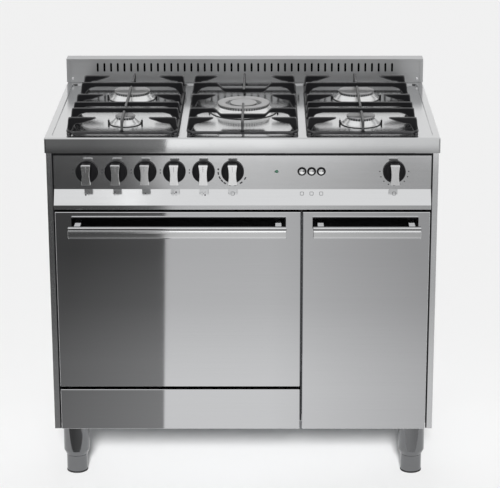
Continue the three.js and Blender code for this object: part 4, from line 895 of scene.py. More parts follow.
@dataclass
class Burner:
    """One gas burner: a ribbed aluminium crown with a painted shadow ring at its foot, and its loose cap."""

    name: str
    wok: bool = False
    sides: int = 96
    shadow_ring_half_width: float = 2.2 * MM
    crown_spread: float = 12 * MM
    crown_height: float = 17 * MM
    crown_wall: float = 4 * MM
    port_depth: float = 3.6 * MM
    port_arc: float = 6.5 * MM
    tooth_share: float = 0.14
    post_radius: float = 2.2 * MM
    cap_overhang: float = 1 * MM
    ring_width: float = 20 * MM
    inner_cap_radius: float = 32 * MM
    wok_spread: float = 16 * MM
    wok_height: float = 20 * MM

    def __post_init__(self) -> None:
        """Reads the burner's place and size from its solids."""
        self.node = f"burner_{self.name}"
        cap_node = "cap_wok_ring" if self.wok else f"cap_{self.name}"
        low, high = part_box(cap_node)
        self.centre = Vector(((low.x + high.x) / 2, (low.y + high.y) / 2, low.z))
        self.cap_radius = (high.x - low.x) / 2
        if self.wok:
            self.crown_spread, self.crown_height, self.tooth_share = self.wok_spread, self.wok_height, 0.27
        self.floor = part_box("grate_middle")[0].z - 0.3 * MM
        self.place = Axis.UP.at((self.centre.x, self.centre.y, self.floor))

    def build(self) -> None:
        """Builds the crown, its painted shadow ring, its posts and its caps."""
        self.seat()
        self.crown()
        self.posts()
        if self.wok:
            self.ring_cap()
            self.plain_cap("cap_wok_centre", self.inner_cap_radius)
        else:
            self.plain_cap(f"cap_{self.name}", self.cap_radius)

    def seat(self) -> None:
        """Builds the dark ring on which the crown stands: a painted shadow where the crown meets the hob."""
        outer = self.cap_radius + self.crown_spread
        # painted shadow: a dark ring under the crown's outer edge
        profile = softened(
            [
                (outer - self.shadow_ring_half_width, 0),
                (outer + self.shadow_ring_half_width, 0),
                (outer + self.shadow_ring_half_width, MM),
                (outer - self.shadow_ring_half_width, MM),
            ],
            0.4 * MM,
        )
        shape = Shape().lathe(profile, self.place, self.sides, ring=True)
        dressed(shape.object(f"{self.node}_painted_shadow_ring"), RUBBER_AND_PAINTED_SHADOW, "casing")

    def crown(self) -> None:
        """Builds the conical crown with the teeth between its flame ports."""
        rim = self.cap_radius - self.cap_overhang
        base = self.cap_radius + self.crown_spread
        low_top = self.crown_height - self.port_depth
        inner = rim - self.crown_wall
        profile = [(0, -28 * MM), (16 * MM, -28 * MM), (16 * MM, 1 * MM), (base, 1 * MM), (base, 2.2 * MM)]
        profile += [
            (base - 3 * MM, 3.4 * MM), (rim, low_top), (inner, low_top), (inner, 6.5 * MM), (0, 6.5 * MM)
        ]
        shape = Shape().lathe(softened(profile, 0.7 * MM, closed=False, steps=3), self.place, self.sides)
        self.teeth(shape, rim, inner, low_top)
        if self.wok:
            core = self.inner_cap_radius - self.cap_overhang
            column = [(0, 5 * MM), (core, 5 * MM), (core, low_top), (0, low_top)]
            shape.lathe(column, self.place, self.sides)
            self.teeth(shape, core, core - self.crown_wall, low_top)
            wall = self.cap_radius - self.ring_width + self.cap_overhang
            rise = [
                (wall, 5 * MM),
                (wall + self.crown_wall, 5 * MM),
                (wall + self.crown_wall, self.crown_height),
                (wall, self.crown_height),
            ]
            shape.lathe(softened(rise, 0.4 * MM), self.place, self.sides, ring=True)
        dressed(shape.object(self.node + "_crown"), CROWN_METAL, "casing", [self.node])
        # painted shade: a near-black ring behind the flame ports darkens the gaps between the teeth under the
        # cap
        painted_shade = Shape()
        for radius in (rim, self.inner_cap_radius - self.cap_overhang)[: 1 + self.wok]:
            wall = [(radius - 3.6 * MM, low_top - MM), (radius - 0.9 * MM, low_top - MM)]
            wall += [(radius - 0.9 * MM, self.crown_height), (radius - 3.6 * MM, self.crown_height)]
            painted_shade.lathe(wall, self.place, self.sides, ring=True)
        dressed(painted_shade.object(self.node + "_painted_port_shade"), BLACK_PLASTIC_AND_PAINTED_SHADE, "casing")

    def teeth(self, shape: Shape, rim: float, inner: float, low: float) -> None:
        """Adds the teeth that stand between the flame ports.

        Args:
            shape: the crown under way.
            rim: the crown's outer radius at the top.
            inner: the wall's inner radius.
            low: the height at which the teeth start.
        """
        count = round(2 * math.pi * rim / self.port_arc)
        pitch = 2 * math.pi / count
        for i in range(count):
            angles = [pitch * (i + share) for share in (-self.tooth_share, 0.0, self.tooth_share)]
            outer_points = [(rim * math.cos(a), rim * math.sin(a)) for a in angles]
            inner_points = [(inner * math.cos(a), inner * math.sin(a)) for a in reversed(angles)]
            shape.prism(outer_points + inner_points, low - 0.5 * MM, self.crown_height, self.place)

    def posts(self) -> None:
        """Builds the igniter and the flame sensor at both sides of the crown."""
        base = self.cap_radius + self.crown_spread
        tips, pillars = Shape(), Shape()
        for side in (-1, 1):
            spot = self.place @ Vector((side * (base + 1.5 * self.post_radius), 0, 0))
            local = Axis.UP.at(spot)
            pillar = [(0, 0.3 * MM), (self.post_radius, 0.3 * MM), (self.post_radius, 8.5 * MM), (0, 9 * MM)]
            pillars.lathe(softened(pillar, 0.5 * MM, False), local, 24)
            tip = [(0, 8.8 * MM), (1.0 * MM, 8.8 * MM), (0.9 * MM, 12.4 * MM), (0, 12.9 * MM)]
            tips.lathe(tip, local, 16)
        dressed(pillars.object(self.node + "_posts"), BLACK_PLASTIC_AND_PAINTED_SHADE, "casing")
        dressed(tips.object(self.node + "_post_tips"), SCREW_STEEL, "casing")

    def plain_cap(self, node: str, radius: float) -> None:
        """Builds a flat round cap with a soft rim.

        Args:
            node: the cap's solid.
            radius: the cap's radius.
        """
        seat = self.crown_height + 0.3 * MM
        profile = [
            (0, seat - 3.5 * MM), (radius - 6 * MM, seat - 3.5 * MM), (radius - 6 * MM, seat), (radius, seat)
        ]
        profile += [(radius, seat + 2.6 * MM), (radius - 1.6 * MM, seat + 3.8 * MM), (0, seat + 4.3 * MM)]
        shape = Shape().lathe(softened(profile, 0.7 * MM, closed=False), self.place, self.sides)
        dressed(shape.object(node + "_disc"), CAP_METAL, node + "_body", [node])

    def ring_cap(self) -> None:
        """Builds the ring cap of the wok burner."""
        seat = self.crown_height + 0.3 * MM
        outer, inner = self.cap_radius, self.cap_radius - self.ring_width
        profile = [
            (inner + 5 * MM, seat - 3 * MM),
            (outer - 6 * MM, seat - 3 * MM),
            (outer - 6 * MM, seat),
            (outer, seat),
        ]
        profile += [
            (outer, seat + 2.6 * MM), (outer - 1.8 * MM, seat + 3.7 * MM), (inner + 3 * MM, seat + 3.7 * MM)
        ]
        profile += [(inner, seat + 1.2 * MM), (inner, seat), (inner + 5 * MM, seat)]
        shape = Shape().lathe(softened(profile, 0.6 * MM), self.place, self.sides, ring=True)
        dressed(
            shape.object("cap_wok_ring_disc"),
            CAP_METAL,
            "cap_wok_ring_body",
            ["cap_wok_ring"],
        )


# ------------------------------------------------------------------ pan grates


@dataclass
class Grate:
    """One cast-iron pan grate with its rail, feet, bars and fingers."""

    name: str
    wok: bool = False
    voxel: float = 1.5 * MM
    rail_width: float = 8 * MM
    rail_lift: float = 5.7 * MM
    rail_height: float = 6.5 * MM
    corner: float = 20 * MM
    foot_inset: float = 8.4 * MM
    root_depth: float = 15 * MM
    tip_depth: float = 4 * MM
    bar_thick: float = 6 * MM
    bar_depth: float = 12 * MM
    finger_tip: float = 60 * MM
    dip: float = 14 * MM
    dip_half: float = 52 * MM
    wok_finger_tip: float = 66 * MM
    rows_from: float = 20 * MM
    short_at: tuple[float, ...] = (52, 281, 483)
    full_at: tuple[float, ...] = (142, 202, 406)
    wok_full_at: tuple[float, ...] = (142, 406)
    spine_tips: Pair = (116, 423)
    wok_spine_tips: Pair = (195, 341)
    middle_spine: tuple[float, ...] = (168, 202, 368)

    def __post_init__(self) -> None:
        """Reads the grate's place from its solid."""
        self.low, self.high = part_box(self.name)
        self.x = (self.low.x + self.high.x) / 2
        self.half = (self.high.x - self.low.x) / 2
        self.rail_low = self.low.z + self.rail_lift
        self.rail_top = self.rail_low + self.rail_height
        self.top = self.high.z
        self.front_edge = self.low.y - self.rows_from
        self.short_rows = self.rows(self.short_at)
        self.full_rows = self.rows(self.wok_full_at if self.wok else self.full_at)

    def rows(self, distances: Iterable[float]) -> list[float]:
        """The depths that lie some millimetres behind the hob's front edge."""
        return [self.front_edge + distance * MM for distance in distances]

    def build(self) -> None:
        """Builds the casting and sets it on its body."""
        shape = Shape()
        self.rail(shape)
        for row in self.full_rows:
            self.full_bar(shape, row)
        tip = self.wok_finger_tip if self.wok else self.finger_tip
        for row in self.short_rows:
            place = Axis.OUT_OF_FRONT.at((self.x, row, 0))
            for side in (-1, 1):
                self.finger(shape, place, side * (self.half - MM), side * tip)
        self.spines(shape)
        made = self.cast(shape.object(self.name + "_rough"))
        dressed(made, IRON, self.name + "_body", [self.name])

    def cast(self, rough: bpy.types.Object) -> bpy.types.Object:
        """Fuses the bars into one casting with soft joints and edges.

        Args:
            rough: the object with the separate bars.

        Returns:
            The new object; the rough one is removed.
        """
        remesh = rough.modifiers.new("fuse", "REMESH")
        remesh.mode = "VOXEL"
        remesh.voxel_size = self.voxel
        smooth = rough.modifiers.new("soften", "SMOOTH")
        smooth.factor = 0.5
        smooth.iterations = 3
        evaluated = rough.evaluated_get(bpy.context.evaluated_depsgraph_get())
        mesh = bpy.data.meshes.new_from_object(evaluated)
        mesh.shade_smooth()
        made = bpy.data.objects.new(self.name + "_casting", mesh)
        bpy.context.scene.collection.objects.link(made)
        bpy.data.objects.remove(rough)
        return made

    def rail(self, shape: Shape) -> None:
        """Adds the low rail round the grate and its four feet."""
        half = self.rail_width / 2
        corners = rectangle(self.low.x + half, self.high.x - half, self.low.y + half, self.high.y - half)
        path = softened(corners, self.corner, steps=8)
        z = (self.rail_low + self.rail_top) / 2
        shape.tube([Vector((x, y, z)) for x, y in path], half * 0.95, 12, closed=True)
        inset = self.foot_inset
        for x in (self.low.x + inset, self.high.x - inset):
            for y in (self.low.y + inset, self.high.y - inset):
                profile = [
                    (0, self.low.z),
                    (5.6 * MM, self.low.z),
                    (6.2 * MM, self.rail_low + 2 * MM),
                    (0, self.rail_low + 3 * MM),
                ]
                shape.lathe(profile, Axis.UP.at((x, y, 0)), 24)

    def finger(self, shape: Shape, place: Matrix, root: float, tip: float) -> None:
        """Adds one finger with its gusset.

        Args:
            shape: the casting under way.
            place: where the finger's outline stands.
            root: where it leaves the rail, on the outline's X axis.
            tip: where it ends.
        """
        way = math.copysign(1.0, tip - root)
        top, low = self.top, self.rail_low + MM
        points = [(root, low), (root + way * 4 * MM, top), (tip, top), (tip, top - self.tip_depth)]
        points += [
            (root + way * 34 * MM, top - self.root_depth), (root + way * 20 * MM, top - self.root_depth - MM)
        ]
        points += [(root + way * 14 * MM, self.rail_top), (root + way * 12 * MM, low)]
        if way > 0:
            points.reverse()
        outline = softened(points, 3 * MM)
        half = self.bar_thick / 2
        shape.prism(outline, -half, half, place, 1.4 * MM)

    def full_bar(self, shape: Shape, row: float) -> None:
        """Adds one bar from rail to rail, lowered in its middle on the wok grate."""
        low, top = self.rail_low + MM, self.top
        half = self.half - MM
        under = top - self.bar_depth
        upper = [(half, low), (half - 4 * MM, top)]
        lower = [
            (half - 12 * MM, low),
            (half - 14 * MM, self.rail_top),
            (half - 23 * MM, under - 4 * MM),
            (half - 38 * MM, under),
        ]
        if self.wok:
            upper += [(self.dip_half + self.dip, top), (self.dip_half, top - self.dip)]
            lower += [(self.dip_half + self.dip - 4 * MM, under), (self.dip_half - 4 * MM, under - self.dip)]
        left_upper = [(-x, z) for x, z in upper]
        left_lower = [(-x, z) for x, z in reversed(lower)]
        loop = upper + list(reversed(left_upper)) + list(reversed(left_lower)) + list(reversed(lower))
        thick = self.bar_thick / 2
        place = Axis.OUT_OF_FRONT.at((self.x, row, 0))
        shape.prism(softened(loop, 2.5 * MM), -thick, thick, place, 1.4 * MM)

    def spines(self, shape: Shape) -> None:
        """Adds the bars that run from front to back."""
        place = Axis.TO_RIGHT.at((self.x, 0, 0))
        front, back = self.low.y + MM, self.high.y - MM
        tips = self.rows(self.wok_spine_tips if self.wok else self.spine_tips)
        self.finger(shape, place, front, tips[0])
        self.finger(shape, place, back, tips[1])
        if self.wok:
            return
        start, bar, end = self.rows(self.middle_spine)
        top = self.top
        points = [(start, top), (start, top - self.tip_depth), (bar - 6 * MM, top - self.root_depth)]
        points += [(bar + 12 * MM, top - self.root_depth), ((bar + end) / 2, top - self.bar_depth)]
        points += [(end, top - self.tip_depth), (end, top)]
        half = self.bar_thick / 2
        shape.prism(softened(points, 2.5 * MM), -half, half, place, 1.4 * MM)


# ------------------------------------------------------------------ controls


@dataclass
class Knob:
    """One control knob: a black skirt and a waisted metal grip."""

    name: str
    skirt_radius: float = 26 * MM
    skirt_thick: float = 8 * MM
    grip_width: float = 22 * MM
    grip_height: float = 46 * MM
    waist: float = 2.5 * MM
    reach: float = 27 * MM
    face_thick: float = 5 * MM
    core_inset: float = 0.8 * MM

    def __post_init__(self) -> None:
        """Reads the knob's place from its solid."""
        low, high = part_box(self.name)
        self.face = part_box("side_panel_left")[0].y
        self.place = Axis.OUT_OF_FRONT.at(((low.x + high.x) / 2, self.face, (low.z + high.z) / 2))

    def build(self) -> None:
        """Builds the skirt and the grip and sets both on the knob's body."""
        body = self.name + "_body"
        radius, back, front = self.skirt_radius, 0.6 * MM, 0.6 * MM + self.skirt_thick
        profile = [(0, back), (radius - 0.6 * MM, back), (radius, back + MM), (radius, front - 2.4 * MM)]
        profile += [
            (radius - 1.6 * MM, front - 0.4 * MM),
            (radius - 5 * MM, front),
            (radius - 5.6 * MM, front - 0.5 * MM),
        ]
        profile += [
            (radius - 7 * MM, front - 0.5 * MM), (radius - 7.6 * MM, front + 0.1 * MM), (0, front + 0.1 * MM)
        ]
        skirt = Shape().lathe(softened(profile, 0.8 * MM, closed=False), self.place, 96)
        skirt.lathe([(0, -18 * MM), (4 * MM, -18 * MM), (4 * MM, 2 * MM), (0, 2 * MM)], self.place, 24)
        dressed(skirt.object(self.name + "_skirt"), BLACK_PLASTIC_AND_PAINTED_SHADE, body, [self.name])
        face = front + self.reach - self.face_thick
        # painted reflection: behind its thin metal face the grip is a black core, so its sides look as dark
        # as the shade they mirror
        core = Shape().prism(self.grip_outline(self.core_inset), front - 0.6 * MM, face + MM, self.place)
        dressed(core.object(self.name + "_painted_reflection_core"), BLACK_PLASTIC_AND_PAINTED_SHADE, body)
        low_end, half = -self.grip_height / 2, self.grip_width / 2 - 1.6 * MM
        plate = softened(rectangle(-half, half, low_end + 0.2 * MM, low_end + 1.4 * MM), 0.3 * MM)
        underside = Shape().prism(plate, front - 0.3 * MM, face + MM, self.place)
        dressed(underside.object(self.name + "_underside"), GRIP_STEEL, body)
        grip = Shape().prism(self.grip_outline(), face, front + self.reach, self.place, 0.8 * MM, 3)
        dressed(grip.object(self.name + "_grip"), GRIP_STEEL, body)
        mark = Shape()
        tall = self.grip_height / 2
        mark.prism(
            softened(rectangle(-0.9 * MM, 0.9 * MM, tall / 3, tall - 2.5 * MM), 0.4 * MM),
            front + self.reach - MM, front + self.reach + 0.7 * MM, self.place, 0.2 * MM,
        )
        dressed(mark.object(self.name + "_pointer"), SCREW_STEEL, body)

    def grip_outline(self, inset: float = 0.0) -> list[Pair]:
        """The outline of the grip from the front, drawn in at its middle.

        Args:
            inset: how far inside the metal face the outline runs.

        Returns:
            The anticlockwise outline.
        """
        half, tall = self.grip_width / 2 - inset, self.grip_height / 2 - inset
        steps = 10
        side = []
        for i in range(steps + 1):
            z = -tall + 2 * tall * i / steps
            side.append((half - self.waist * math.cos(math.pi / 2 * z / tall), z))
        left = [(-x, z) for x, z in reversed(side)]
        return softened(side + left, 2.6 * MM)


@dataclass
class PanelTrim:
    """The buttons, the lamp and the printed marks of the control panel."""

    ring_radius: float = 9.7 * MM
    button_radius: float = 6.5 * MM
    ink: float = 0.12 * MM
    strip_y: float = -264.7 * MM
    strip_z: float = 727 * MM
    strip_tilt: float = math.atan2(20, 33)
    mark_pitch: float = 3.4 * MM
    mark_large: float = 1.9 * MM
    mark_small: float = 0.9 * MM

    def __post_init__(self) -> None:
        """Reads the panel's face and the height of its controls."""
        self.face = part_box("side_panel_left")[0].y
        self.z = middle_of("pilot_lamp").z

    def build(self) -> None:
        """Builds the buttons with their rings, the lamp and the marks."""
        dress_solid("button_bezel", BLACK_PLASTIC_AND_PAINTED_SHADE)
        rings = Shape()
        for name in ("left", "middle", "right"):
            centre = middle_of(f"button_{name}")
            place = Axis.OUT_OF_FRONT.at((centre.x, self.face, centre.z))
            outer, inner = self.ring_radius, self.button_radius + 0.45 * MM
            profile = [
                (inner, -2 * MM),
                (outer, -2 * MM),
                (outer, 0.7 * MM),
                (outer - 1 * MM, 1.0 * MM),
                (inner, -1.2 * MM),
            ]
            rings.lathe(softened(profile, 0.4 * MM), place, 64, ring=True)
            self.button(name, place)
        dressed(rings.object("button_rings"), BLACK_PLASTIC_AND_PAINTED_SHADE, "casing")
        self.lamp()
        self.marks()

    def button(self, name: str, place: Matrix) -> None:
        """Builds one push button with a dished, polished face."""
        radius = self.button_radius
        profile = [
            (0, -13 * MM),
            (radius / 2, -13 * MM),
            (radius / 2, -8 * MM),
            (radius, -6 * MM),
            (radius, 2.2 * MM),
        ]
        profile += [
            (radius - 0.5 * MM, 3.4 * MM), (radius * 0.75, 2.2 * MM), (radius * 0.4, 1.2 * MM), (0, 0.9 * MM)
        ]
        shape = Shape().lathe(softened(profile, 0.7 * MM, closed=False), place, 64)
        node = f"button_{name}"
        dressed(shape.object(node + "_cap"), SCREW_STEEL, node + "_body", [node])

    def lamp(self) -> None:
        """Builds the pilot lamp: a green lens in a thin bright ring."""
        centre = middle_of("pilot_lamp")
        place = Axis.OUT_OF_FRONT.at((centre.x, self.face, centre.z))
        profile = [(0, -10 * MM), (4 * MM, -10 * MM), (4 * MM, 0.5 * MM), (2.4 * MM, 1.7 * MM), (0, 2.1 * MM)]
        lens = Shape().lathe(softened(profile, 0.8 * MM, closed=False), place, 48)
        dressed(lens.object("pilot_lamp_lens"), LAMP_LENS, "casing", ["pilot_lamp"])
        ring = [
            (4.05 * MM, -0.5 * MM),
            (5.2 * MM, -0.5 * MM),
            (5.2 * MM, 0.2 * MM),
            (4.6 * MM, 0.7 * MM),
            (4.05 * MM, 0.4 * MM),
        ]
        shape = Shape().lathe(softened(ring, 0.2 * MM), place, 48, ring=True)
        dressed(shape.object("pilot_lamp_ring"), SCREW_STEEL, "casing")

    def dot(self, shape: Shape, x: float, z: float, radius: float) -> None:
        """Adds one printed dot on the panel's face."""
        place = Axis.OUT_OF_FRONT.at((x, self.face, z))
        shape.lathe([(0, -self.ink), (radius, -self.ink), (radius, self.ink), (0, self.ink)], place, 20)

    def dash(
        self, shape: Shape, centre: Vector, angle: float, radius: float, length: float, width: float
    ) -> None:
        """Adds one printed dash of a dial.

        Args:
            shape: the print under way.
            centre: the middle of the dial.
            angle: where the dash stands, in degrees from the right, anticlockwise.
            radius: its distance from the middle.
            length: its length round the dial.
            width: its width.
        """
        turn = math.radians(angle)
        spot = Vector((radius * math.cos(turn), radius * math.sin(turn), 0))
        place = Axis.OUT_OF_FRONT.at((centre.x, self.face, centre.z)) @ Matrix.Translation(spot)
        place = place @ Matrix.Rotation(turn, 4, "Z")
        shape.prism(rectangle(-width / 2, width / 2, -length / 2, length / 2), -self.ink, self.ink, place)

    def marks(self) -> None:
        """Prints the dots beside the knobs and the dials of the two oven knobs."""
        shape = Shape()
        burners = ("front_left", "rear_left", "wok", "rear_right", "front_right")
        for name in burners:
            x = middle_of(f"knob_{name}").x
            for rise in (3.5 * MM, -3.5 * MM):
                self.dot(shape, x - 32 * MM, self.z + rise, 1.5 * MM)
        main = middle_of("knob_main_oven")
        self.dot(shape, main.x - 32.5 * MM, self.z + 5 * MM, 2.3 * MM)
        for angle in (188, 207, 222, 237, 256, 282, 306, 330):
            self.dash(shape, Vector((main.x, 0, self.z)), angle, 33 * MM, 6.8 * MM, 3.2 * MM)
        small = middle_of("knob_small_oven")
        for i in range(9):
            angle = math.radians(180 + 22.5 * i)
            self.dot(shape, small.x + 33 * MM * math.cos(angle), self.z + 33 * MM * math.sin(angle), 1.5 * MM)
        dressed(shape.object("panel_marks"), PRINT_INK, "casing")
        self.strip_marks()

    def strip_marks(self) -> None:
        """Prints on the slanted strip which burner or oven each control serves."""
        shape = Shape()
        tilt = Matrix.Rotation(-self.strip_tilt, 4, "X")
        corners = {
            "front_left": (-1, -1),
            "rear_left": (-1, 1),
            "wok": (0, 0),
            "rear_right": (1, 1),
            "front_right": (1, -1),
        }
        spots = [(middle_of(f"knob_{name}").x, corner) for name, corner in corners.items()]
        for x, chosen in spots:
            place = Axis.OUT_OF_FRONT.at((x, self.strip_y, self.strip_z)) @ tilt
            for corner in corners.values():
                radius = self.mark_large if corner == chosen else self.mark_small
                at = place @ Matrix.Translation((corner[0] * self.mark_pitch, corner[1] * self.mark_pitch, 0))
                shape.lathe([(0, -self.ink), (radius, -self.ink), (radius, self.ink), (0, self.ink)], at, 16)
        ovens = [middle_of("knob_main_oven").x, middle_of("knob_small_oven").x]
        for x in ovens + [middle_of(f"button_{name}").x for name in ("left", "middle", "right")]:
            place = Axis.OUT_OF_FRONT.at((x, self.strip_y, self.strip_z)) @ tilt
            half, line = self.mark_pitch, self.mark_small
            for low, high in ((-half - line, -half), (half, half + line)):
                shape.prism(rectangle(-half, half, low, high), -self.ink, self.ink, place)
                shape.prism(rectangle(low, high, -half, half), -self.ink, self.ink, place)
        dressed(shape.object("strip_marks"), PRINT_INK, "casing")


# ------------------------------------------------------------------ doors and drawer


@dataclass
class Door:
    """One oven door with its grooved bar handle."""

    name: str
    edge: float = 0.5 * MM
    reach: float = 34 * MM
    bulge: float = 0.35 * MM
    bracket: float = 14 * MM
    # thickness of the black backing that paints the shade behind the bar
    painted_shade_thickness: float = 6 * MM

    def build(self) -> None:
        """Dresses the door's solids and builds its handle."""
        dress_solid(f"{self.name}_panel", DOOR_STEEL, self.edge)
        dress_solid(f"{self.name}_inner", OVEN_ENAMEL)
        self.handle()

    def section(self, face: float, back: float, low: float, high: float) -> list[Pair]:
        """The handle's section from the side, as (depth, height) points.

        Args:
            face: the depth of its front.
            back: the depth of its back.
            low: its lower edge.
            high: its upper edge.

        Returns:
            The anticlockwise outline.
        """
        steps = 8
        ledge, groove = high - 3 * MM, 2.5 * MM
        front = []
        start, end = ledge - groove, low + 4 * MM
        for i in range(steps + 1):
            share = i / steps
            z = start + (end - start) * share
            front.append((face - self.bulge * math.sin(math.pi * share), z))
        points = [
            (back, low),
            (back, high),
            (face, high),
            (face, ledge),
            (face + groove, ledge),
            (face + groove, start),
        ]
        points += front + [(face + 4 * MM, low)]
        return softened(points, 1.0 * MM, steps=3)

    def handle(self) -> None:
        """Builds the handle bar, its groove, its two dark brackets, and painted shade: a black backing behind
        the bar and a black inlay in its groove.
        """
        low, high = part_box(f"{self.name}_handle")
        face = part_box(f"{self.name}_panel")[0].y
        back = face - self.reach
        outline = self.section(low.y + 0.6 * MM, back - self.painted_shade_thickness, low.z, high.z)
        shape = Shape()
        shape.prism(outline, low.x, high.x, Axis.TO_RIGHT.at((0, 0, 0)), 1.2 * MM, 3)
        middle = (low.z + high.z) / 2
        dark, plates = Shape(), Shape()
        for x in (low.x + 18 * MM, high.x - 18 * MM):
            half = self.bracket / 2
            place = Axis.OUT_OF_FRONT.at((x, face, middle))
            corners = softened(rectangle(-half, half, -8 * MM, 5 * MM), 2 * MM)
            dark.prism(corners, 0.3 * MM, self.reach + 2 * MM, place, 0.4 * MM)
            corners = softened(rectangle(-half, half, 4.8 * MM, 7 * MM), 0.6 * MM)
            plates.prism(corners, 0.3 * MM, self.reach + 2 * MM, place, 0.3 * MM)
        node = f"{self.name}_handle"
        dressed(shape.object(node + "_bar"), HANDLE_STEEL, self.name, [node])
        dressed(plates.object(node + "_plates"), HANDLE_STEEL, self.name)
        outline = softened(
            rectangle(low.x + 0.3 * MM, high.x - 0.3 * MM, low.z + 0.5 * MM, high.z - 0.2 * MM), 1 * MM
        )
        # painted shade: a black backing behind the bar, where the gap to the door is shaded
        dark.prism(
            outline, self.reach, self.reach + self.painted_shade_thickness, Axis.OUT_OF_FRONT.at((0, face, 0)), 0.3 * MM
        )
        # painted shade: a black inlay in the groove
        groove = rectangle(low.x + 0.6 * MM, high.x - 0.6 * MM, high.z - 5.4 * MM, high.z - 3.1 * MM)
        front = face - low.y
        dark.prism(groove, front - 4 * MM, front - 1.4 * MM, Axis.OUT_OF_FRONT.at((0, face, 0)))
        dressed(dark.object(node + "_brackets_and_painted_shade"), BLACK_PLASTIC_AND_PAINTED_SHADE, self.name)


@dataclass
class Drawer:
    """The storage drawer under the main oven."""

    edge: float = 0.5 * MM

    def build(self) -> None:
        """Dresses the drawer's front and box."""
        dress_solid("drawer_front", DOOR_STEEL, self.edge)
        dress_solid("drawer_box", ZINC, self.edge)


# ------------------------------------------------------------------ ovens


@dataclass
class Oven:
    """The inside of one oven."""

    name: str

    def build(self) -> None:
        """Dresses the liner, the seal and the rack."""
        dress_solid(f"{self.name}_liner", OVEN_ENAMEL)
        dress_solid(f"{self.name}_gasket", SEAL_FIBRE)
        dress_solid(f"{self.name}_rack", CHROME_WIRE)
        if self.name == "main_oven":
            dress_solid("main_oven_fan_cover", OVEN_ENAMEL)
            dress_solid("main_oven_grill_element", ELEMENT_STEEL)


# ------------------------------------------------------------------ legs


@dataclass
class Leg:
    """One tubular leg with its adjustable foot."""

    place_name: str
    radius: float = 31 * MM
    foot_radius: float = 25 * MM
    collar_radius: float = 34 * MM
    bore_radius: float = 17 * MM
    stem_radius: float = 16.5 * MM
    stem_length: float = 79 * MM

    def build(self) -> None:
        """Builds the turned leg, its foot and the foot's pad."""
        node = f"leg_{self.place_name}"
        low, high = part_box(node)
        place = Axis.UP.at(((low.x + high.x) / 2, (low.y + high.y) / 2, 0))
        top, r = high.z, self.radius
        bore, stem = self.bore_radius, self.stem_radius
        profile = [(0, top - 3 * MM), (bore, top - 3 * MM), (bore, low.z + 0.2 * MM)]
        profile += [(self.foot_radius + 0.3 * MM, low.z), (r, low.z + 12 * MM), (r, top - 6 * MM)]
        profile += [(self.collar_radius, top - 3 * MM), (self.collar_radius, top), (0, top)]
        shape = Shape().lathe(softened(profile, 1.0 * MM, closed=False), place, 96)
        dressed(shape.object(node + "_tube"), SHADED_LEG_STEEL, "casing", [node])
        foot = f"foot_{self.place_name}"
        body = foot + "_body"
        r = self.foot_radius
        profile = [
            (0, 3 * MM), (r - 0.5 * MM, 3 * MM), (r, 5 * MM), (r, low.z - 0.3 * MM), (stem, low.z - 0.3 * MM)
        ]
        profile += [(stem, low.z + self.stem_length), (0, low.z + self.stem_length)]
        shape = Shape().lathe(softened(profile, 0.8 * MM, closed=False), place, 96)
        dressed(shape.object(foot + "_collar"), SHADED_LEG_STEEL, body, [foot])
        pad = [(0, 0), (r - 0.1 * MM, 0), (r + 0.5 * MM, 0.6 * MM), (r + 0.5 * MM, 3.2 * MM), (0, 3.2 * MM)]
        shape = Shape().lathe(softened(pad, 0.4 * MM, closed=False), place, 96)
        dressed(shape.object(foot + "_pad"), RUBBER_AND_PAINTED_SHADOW, body)


# ------------------------------------------------------------------ studio


